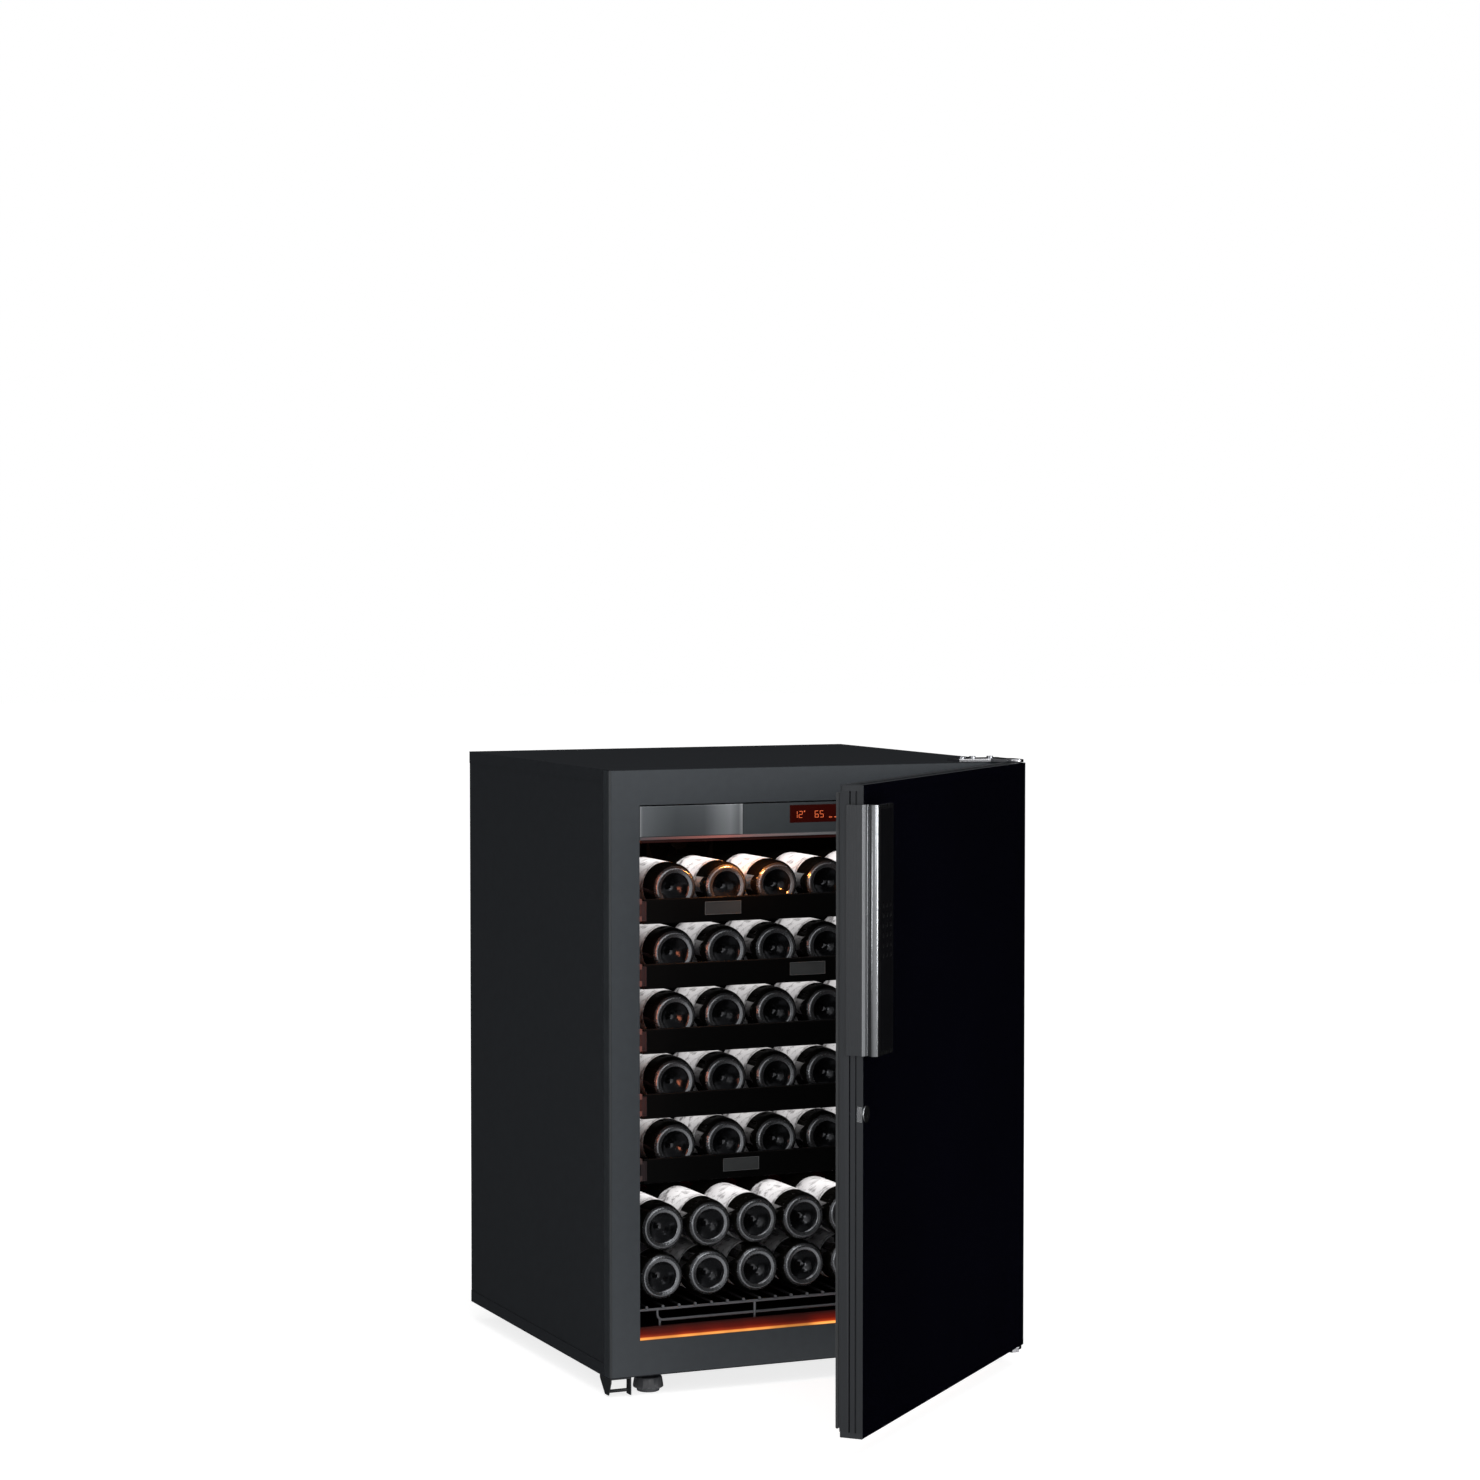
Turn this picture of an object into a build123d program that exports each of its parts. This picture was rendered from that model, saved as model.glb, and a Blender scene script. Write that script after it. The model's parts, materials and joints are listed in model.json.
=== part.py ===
"""Free-standing wine cooler with one reversible solid door, five sliding shelves and a bottom rack.

Row frame, in millimetres: +Z up, +X to the right of someone facing the front, the front towards -Y.
The origin is the centre of the cabinet's footprint, on the floor. The door stands open at DOOR_REST.
"""
import os
from math import cos, radians, sin

from build123d import *

# Cabinet
WIDTH = 680.0
DEPTH = 636.0
BODY_HEIGHT = 920.0
FOOT_HEIGHT = 30.0
SHEET = 1.2
FLANGE = 0.8
FLANGE_HEIGHT = 19.0
TRIM_DEPTH = 22.0
LINER_SHEET = 1.0

# Opening in the front frame, and the cabinet's inside
OPENING_HALF = 290.0
OPENING_LOW = 84.0
OPENING_HIGH = 896.0
FRAME_THICK = 2.0
FRAME_RETURN = 10.0
INSIDE_DEPTH = 566.0
STEP_Y = 60.0
STEP_TOP = 300.0
BAY_HALF = 310.0
BAY_FRONT = 90.0
BAY_TOP = 270.0

# Door
DOOR_REST = 42.6
DOOR_THICK = 34.5
GLASS_THICK = 3.0
GASKET_THICK = 8.7
GASKET_GAP = 0.3
STILE_WIDTH = 40.0
CAP_HEIGHT = 8.0
EDGE_LIP = 2.0
DOOR_GAP = 1.0
HINGE_INSET = 10.0
HINGE_BEHIND = 14.5
PIN_RADIUS = 4.0
PIN_FIT = 0.06

# Handle and lock, with heights above the cabinet's base
HANDLE_LOW = 541.0
HANDLE_HIGH = 892.0
HANDLE_WIDTH = 61.0
HANDLE_STAND = 22.0
BAR_RADIUS = 8.25
INSERT_FROM = 9.5
LOCK_HEIGHT = 458.5
LOCK_INSET = 10.0
LOCK_RADIUS = 6.5
LOCK_PLATE = (22.0, 7.6)

# Shelves and bottles
SHELVES = 5
BOTTLE_RADIUS = 37.5
BOTTLES_PER_SHELF = 6
BOTTLE_PITCH = 85.3
TOP_BOTTLE_Z = 765.0
SHELF_PITCH = 99.0
SHELF_FRONT = 30.0
SHELF_DEPTH = 470.0
FASCIA_THICK = 6.0
FASCIA_HEIGHT = 38.0
FASCIA_HALF = 272.0
CARD_X = {1: -141.0, 2: 1.0, 5: -111.0}
CARD_SIZE = (60.0, 20.0)
RUNNER_WIDTH = 15.0
RUNNER_HEIGHT = 34.0
CHANNEL_HEIGHT = 18.0
RACK_TOP = 131.5
RACK_PITCH = 80.5
RACK_WIRES = 21
WIRE_RADIUS = 2.5

# Control panel
PANEL_LOW = 843.0
PANEL_DEPTH = 30.0
PANEL_WALL = 2.5
PANEL_GAP = 2.0
LIP_HEIGHT = 5.0
DISPLAY_X = (-42.0, 58.0)
DISPLAY_Z = (863.0, 890.0)
PLATE_RIGHT = -121.0
BUTTON_X = {"button_light": 100.0, "button_down": 136.0, "button_up": 172.0}
BUTTON_SIZE = (22.0, 10.0)
BUTTON_GAP = 0.3

# Feet
FOOT_X = 264.0
FOOT_INSET = 33.0
FOOT_RADIUS = 23.5
STEM_RADIUS = 4.0

HALF = WIDTH / 2
FRONT = -DEPTH / 2
BACK = DEPTH / 2
BASE = FOOT_HEIGHT
TOP = BASE + BODY_HEIGHT
SKIN = HALF - FLANGE
LINER_BACK = FRONT + INSIDE_DEPTH + 2.0
LINER_FRONT = FRONT + FRAME_THICK + FRAME_RETURN
FLOOR_TOP = OPENING_LOW - 2
DOOR_LOW = BASE + DOOR_GAP
DOOR_HIGH = TOP - DOOR_GAP
FASCIA_Y = FRONT + SHELF_FRONT
CORE_LOW = DOOR_LOW + CAP_HEIGHT
CORE_HIGH = DOOR_HIGH - CAP_HEIGHT

# The door's own frame: the origin is on the hinge axis and X runs along the door, as when it is shut.
HINGE_X = HALF - HINGE_INSET
HINGE_Y = FRONT - GASKET_GAP - GASKET_THICK - DOOR_THICK + HINGE_BEHIND
SWING = radians(DOOR_REST)
DOOR = Plane(origin=(HINGE_X, HINGE_Y, 0), x_dir=(cos(SWING), sin(SWING), 0), z_dir=(0, 0, 1))
FREE = -HALF - HINGE_X
HINGED = HINGE_INSET
OUTER = -HINGE_BEHIND
INNER = OUTER + DOOR_THICK
BEHIND_GLASS = OUTER + GLASS_THICK

os.makedirs("parts", exist_ok=True)


def save(piece, name):
    piece.part.label = name
    export_step(piece.part, f"parts/{name}.step")


def save_group(solids, name):
    """Several solids that make up one sub-part, written as one file."""
    group = Compound(label=name, children=[solid for part in solids for solid in part.solids()])
    export_step(group, f"parts/{name}.step")


def block(x, y, z, mode=Mode.ADD):
    """A box between three pairs of coordinates, in the frame of the part being built."""
    with Locations(((x[0] + x[1]) / 2, (y[0] + y[1]) / 2, (z[0] + z[1]) / 2)):
        return Box(x[1] - x[0], y[1] - y[0], z[1] - z[0], mode=mode)


def both(half, thick, y, z, mode=Mode.ADD):
    """A pair of boxes, one on each side of the cabinet, from half inwards by thick."""
    block((-half, -half + thick), y, z, mode)
    block((half - thick, half), y, z, mode)


def spindle(radius, length, at, axis, mode=Mode.ADD):
    """A cylinder that starts at a point and runs along an axis."""
    with Locations(Plane(origin=at, z_dir=axis)):
        return Cylinder(radius, length, align=(Align.CENTER, Align.CENTER, Align.MIN), mode=mode)


def shelf_z(number):
    """The height of the bottles' axes on a shelf, counted from 1 at the top."""
    return TOP_BOTTLE_Z - (number - 1) * SHELF_PITCH


# ---------------------------------------------------------------- outer casing

for side, name in ((-1, "side_panel_left"), (1, "side_panel_right")):
    with BuildPart() as panel:
        inner, outer = side * (SKIN - SHEET), side * SKIN
        skin_x = (min(inner, outer), max(inner, outer))
        block(skin_x, (FRONT + TRIM_DEPTH + 0.5, BACK - SHEET), (BASE + SHEET, TOP - SHEET))
    save(panel, name)

with BuildPart() as top_panel:
    block((-HALF, HALF), (FRONT, BACK), (TOP - SHEET, TOP))
    fillet(top_panel.edges().filter_by(Axis.Z), 2.0)
    both(HALF, FLANGE, (FRONT + TRIM_DEPTH + 0.5, BACK - 2), (TOP - FLANGE_HEIGHT, TOP - SHEET))
save(top_panel, "top_panel")

with BuildPart() as base_pan:
    block((-HALF, HALF), (FRONT, BACK), (BASE, BASE + SHEET))
    fillet(base_pan.edges().filter_by(Axis.Z), 2.0)
    both(HALF, FLANGE, (FRONT + TRIM_DEPTH + 0.5, BACK - 2), (BASE + SHEET, BASE + FLANGE_HEIGHT))
    for side in (-1, 1):
        spindle(
            STEM_RADIUS + 0.1, SHEET, (side * FOOT_X, FRONT + FOOT_INSET, BASE), (0, 0, 1), Mode.SUBTRACT
        )
    with Locations((0, (BAY_FRONT + BACK) / 2, BASE + SHEET / 2)):
        with GridLocations(40, 60, 12, 3):
            Box(26, 8, SHEET, mode=Mode.SUBTRACT)
save(base_pan, "base_pan")

with BuildPart() as back_panel:
    block((-SKIN + SHEET, SKIN - SHEET), (BACK - SHEET, BACK), (STEP_TOP, TOP - SHEET))
save(back_panel, "back_panel")

INLET_X = 250.0
INLET_Z = 120.0
with BuildPart() as service_cover:
    block((-SKIN + SHEET, SKIN - SHEET), (BACK - SHEET, BACK), (BASE + SHEET, STEP_TOP - 1))
    with BuildSketch(Plane.XZ.offset(-BACK)) as louvres:
        with Locations((-60, 170)):
            with GridLocations(90, 16, 4, 11):
                SlotOverall(74, 6)
        with Locations((INLET_X, INLET_Z)):
            Rectangle(48, 28)
    extrude(amount=SHEET, mode=Mode.SUBTRACT)
save(service_cover, "service_cover")

with BuildPart() as front_frame:
    frame_x = (-HALF + 4.3, HALF - 4.3)
    block(frame_x, (FRONT, FRONT + FRAME_THICK), (BASE + SHEET, TOP - SHEET))
    lip = 1.5
    block(
        (-OPENING_HALF - lip, OPENING_HALF + lip),
        (FRONT + FRAME_THICK, LINER_FRONT),
        (OPENING_LOW - lip, OPENING_HIGH + lip),
    )
    block(
        (-OPENING_HALF, OPENING_HALF),
        (FRONT, LINER_FRONT),
        (OPENING_LOW, OPENING_HIGH),
        Mode.SUBTRACT,
    )
save(front_frame, "front_frame")

with BuildPart() as corner_trims:
    for side in (-1, 1):
        with BuildSketch(Plane.XY.offset(BASE + SHEET)):
            with BuildLine():
                Polyline(
                    (side * (HALF - 4), FRONT),
                    (side * (HALF - 4), FRONT + 3),
                    (side * (HALF - 1.8), FRONT + 5),
                    (side * (HALF - 1.8), FRONT + TRIM_DEPTH),
                    (side * HALF, FRONT + TRIM_DEPTH),
                    (side * HALF, FRONT + 4),
                )
                RadiusArc((side * HALF, FRONT + 4), (side * (HALF - 4), FRONT), side * 4)
            make_face()
        extrude(amount=TOP - BASE - 2 * SHEET)
save(corner_trims, "corner_trims")

# ---------------------------------------------------------------- liner and insulation

# The walls of the formed tub, one flat solid each, with a step over the compressor's bay.
with BuildPart() as inner_liner:
    for side in (-1, 1):
        inner, outer = side * OPENING_HALF, side * (OPENING_HALF + LINER_SHEET)
        wall_x = (min(inner, outer), max(inner, outer))
        block(wall_x, (LINER_FRONT, LINER_BACK), (FLOOR_TOP, OPENING_HIGH))
        block(wall_x, (STEP_Y, LINER_BACK), (FLOOR_TOP, STEP_TOP - LINER_SHEET), Mode.SUBTRACT)
walls = [inner_liner.part]
wide = (-OPENING_HALF, OPENING_HALF)
for wall_y, wall_z in (
    ((LINER_BACK, LINER_BACK + LINER_SHEET), (STEP_TOP, OPENING_HIGH)),
    ((LINER_FRONT, LINER_BACK + LINER_SHEET), (OPENING_HIGH, OPENING_HIGH + LINER_SHEET)),
    ((LINER_FRONT, STEP_Y), (FLOOR_TOP - LINER_SHEET, FLOOR_TOP)),
    ((STEP_Y - LINER_SHEET, STEP_Y), (FLOOR_TOP, STEP_TOP - LINER_SHEET)),
    ((STEP_Y - LINER_SHEET, LINER_BACK), (STEP_TOP - LINER_SHEET, STEP_TOP)),
):
    with BuildPart() as wall:
        block(wide, wall_y, wall_z)
    walls.append(wall.part)
save_group(walls, "inner_liner")

EVAPORATOR = ((-200.0, 200.0), (LINER_BACK + LINER_SHEET, LINER_BACK + 5.0), (400.0, 850.0))
with BuildPart() as insulation:
    block(
        (-SKIN + SHEET, SKIN - SHEET),
        (FRONT + FRAME_THICK, BACK - SHEET),
        (BASE + SHEET, TOP - SHEET),
    )
    both(SKIN - SHEET, 2.5, (FRONT, FRONT + TRIM_DEPTH + 0.5), (BASE, TOP), Mode.SUBTRACT)
    cavity = OPENING_HALF + LINER_SHEET
    block(
        (-cavity, cavity),
        (LINER_FRONT, LINER_BACK + LINER_SHEET),
        (STEP_TOP - LINER_SHEET, OPENING_HIGH + LINER_SHEET),
        Mode.SUBTRACT,
    )
    block((-cavity, cavity), (LINER_FRONT, STEP_Y), (FLOOR_TOP - LINER_SHEET, STEP_TOP), Mode.SUBTRACT)
    block(
        (-OPENING_HALF - 1.5, OPENING_HALF + 1.5),
        (FRONT, LINER_FRONT),
        (OPENING_LOW - 3.5, OPENING_HIGH + 1.5),
        Mode.SUBTRACT,
    )
    block((-BAY_HALF, BAY_HALF), (BAY_FRONT, BACK), (BASE, BAY_TOP), Mode.SUBTRACT)
    block(*EVAPORATOR, Mode.SUBTRACT)
    for side in (-1, 1):
        spindle(7, 24, (side * FOOT_X, FRONT + FOOT_INSET, BASE), (0, 0, 1), Mode.SUBTRACT)
save(insulation, "insulation")

# ---------------------------------------------------------------- control panel

PANEL_FRONT = FRONT + 1.0
with BuildPart() as control_panel:
    panel_x = (-OPENING_HALF + 0.5, OPENING_HALF - 0.5)
    panel_z = (PANEL_LOW, OPENING_HIGH - PANEL_GAP)
    block(panel_x, (PANEL_FRONT, PANEL_FRONT + PANEL_DEPTH), panel_z)
    block(panel_x, (FRONT, PANEL_FRONT), (PANEL_LOW, PANEL_LOW + LIP_HEIGHT))
    block(
        (panel_x[0] + PANEL_WALL, panel_x[1] - PANEL_WALL),
        (PANEL_FRONT + PANEL_WALL, PANEL_FRONT + PANEL_DEPTH),
        (panel_z[0] + PANEL_WALL, panel_z[1] - PANEL_WALL),
        Mode.SUBTRACT,
    )
    block(DISPLAY_X, (PANEL_FRONT, PANEL_FRONT + PANEL_WALL), DISPLAY_Z, Mode.SUBTRACT)
    button_z = sum(DISPLAY_Z) / 2
    for button_x in BUTTON_X.values():
        half_x = BUTTON_SIZE[0] / 2 + BUTTON_GAP
        half_z = BUTTON_SIZE[1] / 2 + BUTTON_GAP
        block(
            (button_x - half_x, button_x + half_x),
            (PANEL_FRONT, PANEL_FRONT + PANEL_WALL),
            (button_z - half_z, button_z + half_z),
            Mode.SUBTRACT,
        )
save(control_panel, "control_panel")

with BuildPart() as control_plate:
    block((panel_x[0], PLATE_RIGHT), (PANEL_FRONT - 1.6, PANEL_FRONT), (PANEL_LOW + LIP_HEIGHT, panel_z[1]))
    chamfer(control_plate.faces().sort_by(Axis.Y)[0].edges(), 0.6)
save(control_plate, "control_plate")

with BuildPart() as display_lens:
    block(DISPLAY_X, (PANEL_FRONT - 0.4, PANEL_FRONT + PANEL_WALL), DISPLAY_Z)
    chamfer(display_lens.faces().sort_by(Axis.Y)[0].edges(), 0.3)
save(display_lens, "display_lens")

BOARD_Y = PANEL_FRONT + 17.0
with BuildPart() as display_board:
    block((DISPLAY_X[0] - 4, 190), (BOARD_Y, BOARD_Y + 1.6), (851, 891))
    with Locations((sum(DISPLAY_X) / 2, BOARD_Y - 4, button_z)):
        with GridLocations(17, 1, 5, 1):
            Box(14, 8, 20)
    for button_x in BUTTON_X.values():
        block((button_x - 3, button_x + 3), (BOARD_Y - 2, BOARD_Y), (button_z - 3, button_z + 3))
save(display_board, "display_board")

for name, button_x in BUTTON_X.items():
    with BuildPart() as button:
        with BuildSketch(Plane.XZ.offset(-PANEL_FRONT - PANEL_WALL - 1)):
            with Locations((button_x, button_z)):
                RectangleRounded(BUTTON_SIZE[0], BUTTON_SIZE[1], 2.5)
        extrude(amount=PANEL_WALL + 2.2)
        fillet(button.faces().sort_by(Axis.Y)[0].edges(), 0.8)
        spindle(2.0, 9.8, (button_x, PANEL_FRONT + PANEL_WALL + 0.8, button_z), (0, 1, 0))
    save(button, name)

with BuildPart() as light_bars:
    block((-285, 285), (FRONT + 4, FRONT + 18), (PANEL_LOW - 4.5, PANEL_LOW))
    chamfer(light_bars.faces().sort_by(Axis.Z)[0].edges().filter_by(Axis.X), 1.5)
    with BuildSketch(Plane.YZ.offset(-OPENING_HALF + 1)):
        with BuildLine():
            Polyline(
                (FRONT + 2.5, OPENING_LOW),
                (FRONT + 2.5, OPENING_LOW + 7),
                (FRONT + 20, OPENING_LOW + 16),
                (FRONT + 24, OPENING_LOW + 16),
                (FRONT + 24, OPENING_LOW),
                close=True,
            )
        make_face()
    extrude(amount=2 * OPENING_HALF - 2)
save(light_bars, "light_bars")

# ---------------------------------------------------------------- shelves, runners and rack

RUNNER_Y = (FASCIA_Y - 2, FASCIA_Y + SHELF_DEPTH + 4)
with BuildPart() as shelf_runners:
    for number in range(1, SHELVES + 1):
        middle = shelf_z(number) - 30
        high = (middle - RUNNER_HEIGHT / 2, middle + RUNNER_HEIGHT / 2)
        both(OPENING_HALF, RUNNER_WIDTH, RUNNER_Y, high)
        channel = (middle - CHANNEL_HEIGHT / 2, middle + CHANNEL_HEIGHT / 2)
        both(OPENING_HALF - 6, RUNNER_WIDTH - 6, (RUNNER_Y[0] + 3, RUNNER_Y[1] - 3), channel, Mode.SUBTRACT)
        both(OPENING_HALF - 6, RUNNER_WIDTH - 6, (RUNNER_Y[0], RUNNER_Y[0] + 3), channel, Mode.SUBTRACT)
save(shelf_runners, "shelf_runners")

PAD_OFFSETS = (34.0, 300.0)
PAD_THICK = 14.0
PAD_LOW = -48.0
PAD_HIGH = -22.0
BED_RADIUS = BOTTLE_RADIUS + 0.6
TRAY_Y = (FASCIA_Y + FASCIA_THICK, FASCIA_Y + SHELF_DEPTH)
RAIL_X = OPENING_HALF - RUNNER_WIDTH - 1


def bed_x(height):
    """How far a pad's 45 degree side stands from the bottle's middle, at a height from its axis."""
    return height + BED_RADIUS * 2**0.5


for number in range(1, SHELVES + 1):
    centre_z = shelf_z(number)
    with BuildPart() as tray:
        block((-RAIL_X, RAIL_X), TRAY_Y, (centre_z - 52, centre_z - 48))
        both(RAIL_X, 12, TRAY_Y, (centre_z - 52, centre_z - 20))
        both(RAIL_X + 6.5, 6.5, (TRAY_Y[0] + 4, TRAY_Y[1]), (centre_z - 38.5, centre_z - 21.5))
        for slot_y in (95.0, 175.0, 255.0, 375.0):
            with BuildSketch(Plane.XY.offset(centre_z - 52)):
                with Locations((0, TRAY_Y[0] + slot_y)):
                    with GridLocations(BOTTLE_PITCH / 2, 1, 2 * BOTTLES_PER_SHELF - 1, 1):
                        SlotOverall(62, 14, rotation=90)
            extrude(amount=4, mode=Mode.SUBTRACT)
    save(tray, f"shelf_tray_{number}")

    with BuildPart() as pads:
        for pad_y in PAD_OFFSETS:
            for gap in range(BOTTLES_PER_SHELF + 1):
                gap_x = (gap - BOTTLES_PER_SHELF / 2) * BOTTLE_PITCH
                left = gap_x - BOTTLE_PITCH / 2
                right = gap_x + BOTTLE_PITCH / 2
                low_x = (left + bed_x(PAD_LOW), right - bed_x(PAD_LOW))
                high_x = (left + bed_x(PAD_HIGH), right - bed_x(PAD_HIGH))
                if gap == 0:
                    low_x = (-RAIL_X + 13, low_x[1])
                    high_x = (-RAIL_X + 13, high_x[1])
                if gap == BOTTLES_PER_SHELF:
                    low_x = (low_x[0], RAIL_X - 13)
                    high_x = (high_x[0], RAIL_X - 13)
                with BuildSketch(Plane.XZ.offset(-(TRAY_Y[0] + pad_y + PAD_THICK))):
                    with BuildLine():
                        Polyline(
                            (low_x[0], centre_z + PAD_LOW),
                            (low_x[1], centre_z + PAD_LOW),
                            (high_x[1], centre_z + PAD_HIGH),
                            (high_x[0], centre_z + PAD_HIGH),
                            close=True,
                        )
                    make_face()
                extrude(amount=PAD_THICK)
    save(pads, f"shelf_pads_{number}")

    with BuildPart() as fascia:
        low = centre_z - 52
        block((-FASCIA_HALF, FASCIA_HALF), (FASCIA_Y, FASCIA_Y + FASCIA_THICK), (low, low + FASCIA_HEIGHT))
        front_edges = fascia.faces().sort_by(Axis.Y)[0].edges()
        fillet(front_edges, 1.8)
        if number in CARD_X:
            card_x = (CARD_X[number] - CARD_SIZE[0] / 2, CARD_X[number] + CARD_SIZE[0] / 2)
            card_low = low + FASCIA_HEIGHT - 7 - CARD_SIZE[1]
            block(card_x, (FASCIA_Y - 0.8, FASCIA_Y), (card_low, card_low + CARD_SIZE[1]))
    save(fascia, f"shelf_front_{number}")

with BuildPart() as bottle_rack:
    rail_z = RACK_TOP - 3 * WIRE_RADIUS
    rack_y = (FRONT + 30.0, STEP_Y - 22.0)
    rack_half = OPENING_HALF - 4
    for rail_y in (rack_y[0], (rack_y[0] + rack_y[1]) / 2, rack_y[1]):
        spindle(WIRE_RADIUS, 2 * rack_half, (-rack_half, rail_y, rail_z), (1, 0, 0))
    for side in (-1, 1):
        span = rack_y[1] - rack_y[0]
        spindle(WIRE_RADIUS, span, (side * rack_half, rack_y[0], rail_z), (0, 1, 0))
        for leg in (88.0, 250.0):
            for rail_y in rack_y:
                spindle(WIRE_RADIUS, rail_z - FLOOR_TOP, (side * leg, rail_y, FLOOR_TOP), (0, 0, 1))
    for rail_y in rack_y:
        spindle(WIRE_RADIUS, 500, (-250, rail_y, rail_z - 17), (1, 0, 0))
    for number in range(RACK_WIRES):
        wire_x = (number - (RACK_WIRES - 1) / 2) * RACK_PITCH / 3
        wire_at = (wire_x, rack_y[0] - 3, rail_z + 1.8 * WIRE_RADIUS)
        spindle(WIRE_RADIUS, rack_y[1] - rack_y[0] + 6, wire_at, (0, 1, 0))
save(bottle_rack, "bottle_rack")

# ---------------------------------------------------------------- cooling circuit

with BuildPart() as evaporator:
    block(*EVAPORATOR)
save(evaporator, "evaporator")

COMPRESSOR_AT = (110.0, 200.0)
with BuildPart() as compressor:
    with BuildSketch(Plane.XY.offset(BASE + 12)):
        with Locations(COMPRESSOR_AT):
            Ellipse(82, 68)
    extrude(amount=150)
    fillet(compressor.faces().sort_by(Axis.Z)[-1].edges(), 34)
    fillet(compressor.faces().sort_by(Axis.Z)[0].edges(), 10)
    with Locations((COMPRESSOR_AT[0], COMPRESSOR_AT[1], BASE + 14)):
        Box(190, 110, 4)
    with Locations((COMPRESSOR_AT[0], COMPRESSOR_AT[1], BASE + SHEET)):
        with GridLocations(166, 86, 2, 2):
            Cylinder(9, 11, align=(Align.CENTER, Align.CENTER, Align.MIN))
save(compressor, "compressor")

with BuildPart() as condenser:
    rows = 9
    row_gap = 22.0
    turn = row_gap / 2 - 0.5
    ends = (-270.0, -20.0)
    low_row = BASE + 34
    points = []
    for row in range(rows):
        row_z = low_row + row * row_gap
        left_first = row % 2 == 0
        points.append((ends[0] if left_first else ends[1], 290, row_z))
        points.append((ends[1] if left_first else ends[0], 290, row_z))
    with BuildLine() as route:
        FilletPolyline(*points, radius=turn)
    with BuildSketch(Plane(origin=points[0], z_dir=(1, 0, 0))):
        Circle(2.6)
    sweep()
    for wire in range(20):
        wire_x = ends[0] + 18 + wire * 11
        block((wire_x - 0.8, wire_x + 0.8), (286.6, 288.4), (low_row - 6, low_row + 8 * row_gap + 6))
save(condenser, "condenser")

FAN_Z = 800.0
FAN_Y = (LINER_BACK - 26, LINER_BACK)
with BuildPart() as fan_housing:
    block((-60, 60), FAN_Y, (FAN_Z - 60, FAN_Z + 60))
    fillet(fan_housing.edges().filter_by(Axis.Y), 8)
    spindle(56, 26, (0, FAN_Y[0], FAN_Z), (0, 1, 0), Mode.SUBTRACT)
    spindle(18, 5, (0, FAN_Y[1] - 5, FAN_Z), (0, 1, 0))
    block((-58, 58), (FAN_Y[1] - 4, FAN_Y[1]), (FAN_Z - 4, FAN_Z + 4))
    block((-4, 4), (FAN_Y[1] - 4, FAN_Y[1]), (FAN_Z - 58, FAN_Z + 58))
    spindle(3, 12, (0, FAN_Y[1] - 16, FAN_Z), (0, 1, 0))
save(fan_housing, "fan_housing")

BLADES = 7
with BuildPart() as fan_rotor:
    spindle(17, 15, (0, FAN_Y[0] + 3, FAN_Z), (0, 1, 0))
    for blade in range(BLADES):
        angle = 360 * blade / BLADES
        along = (sin(radians(angle)), 0, cos(radians(angle)))
        root = (15 * along[0], FAN_Y[0] + 10.5, FAN_Z + 15 * along[2])
        with BuildSketch(Plane(origin=root, x_dir=(0, 1, 0), z_dir=along)):
            Rectangle(2, 12, rotation=50)
        extrude(amount=38)
    spindle(3.05, 10, (0, FAN_Y[1] - 16, FAN_Z), (0, 1, 0), Mode.SUBTRACT)
save(fan_rotor, "fan_rotor")

with BuildPart() as power_inlet:
    inlet_x = (INLET_X - 24, INLET_X + 24)
    block(inlet_x, (BACK - 24, BACK + 1.0), (INLET_Z - 14, INLET_Z + 14))
    block(
        (INLET_X - 12.5, INLET_X + 12.5),
        (BACK - 19, BACK + 1.0),
        (INLET_Z - 8.5, INLET_Z + 8.5),
        Mode.SUBTRACT,
    )
    for prong_x, prong_z in ((-7, -2), (0, 3), (7, -2)):
        block(
            (INLET_X + prong_x - 1, INLET_X + prong_x + 1),
            (BACK - 20, BACK - 5),
            (INLET_Z + prong_z - 2, INLET_Z + prong_z + 2),
        )
save(power_inlet, "power_inlet")

# ---------------------------------------------------------------- feet and brackets

for side, name in ((-1, "foot_front_left"), (1, "foot_front_right")):
    with BuildPart() as foot:
        foot_at = (side * FOOT_X, FRONT + FOOT_INSET)
        with BuildSketch(Plane(origin=(*foot_at, 0), x_dir=(1, 0, 0), z_dir=(0, -1, 0))):
            with BuildLine():
                Polyline((0, 0), (FOOT_RADIUS - 6, 0), (FOOT_RADIUS - 5, 5), (FOOT_RADIUS, 7))
                Polyline((FOOT_RADIUS, 7), (FOOT_RADIUS - 2.5, 22), (FOOT_RADIUS - 4.5, 23), (6.5, 23))
                Polyline((6.5, 23), (6.5, 29.7), (STEM_RADIUS, 29.7), (STEM_RADIUS, 52), (0, 52), (0, 0))
            make_face()
        revolve(axis=Axis((*foot_at, 0), (0, 0, 1)))
    save(foot, name)

with BuildPart() as rear_feet:
    for side in (-1, 1):
        with BuildSketch(Plane.XY):
            with Locations((side * FOOT_X, BACK - 48)):
                Circle(20)
        extrude(amount=BASE)
    chamfer(rear_feet.faces().sort_by(Axis.Z)[0].edges(), 2)
save(rear_feet, "rear_feet")

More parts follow.
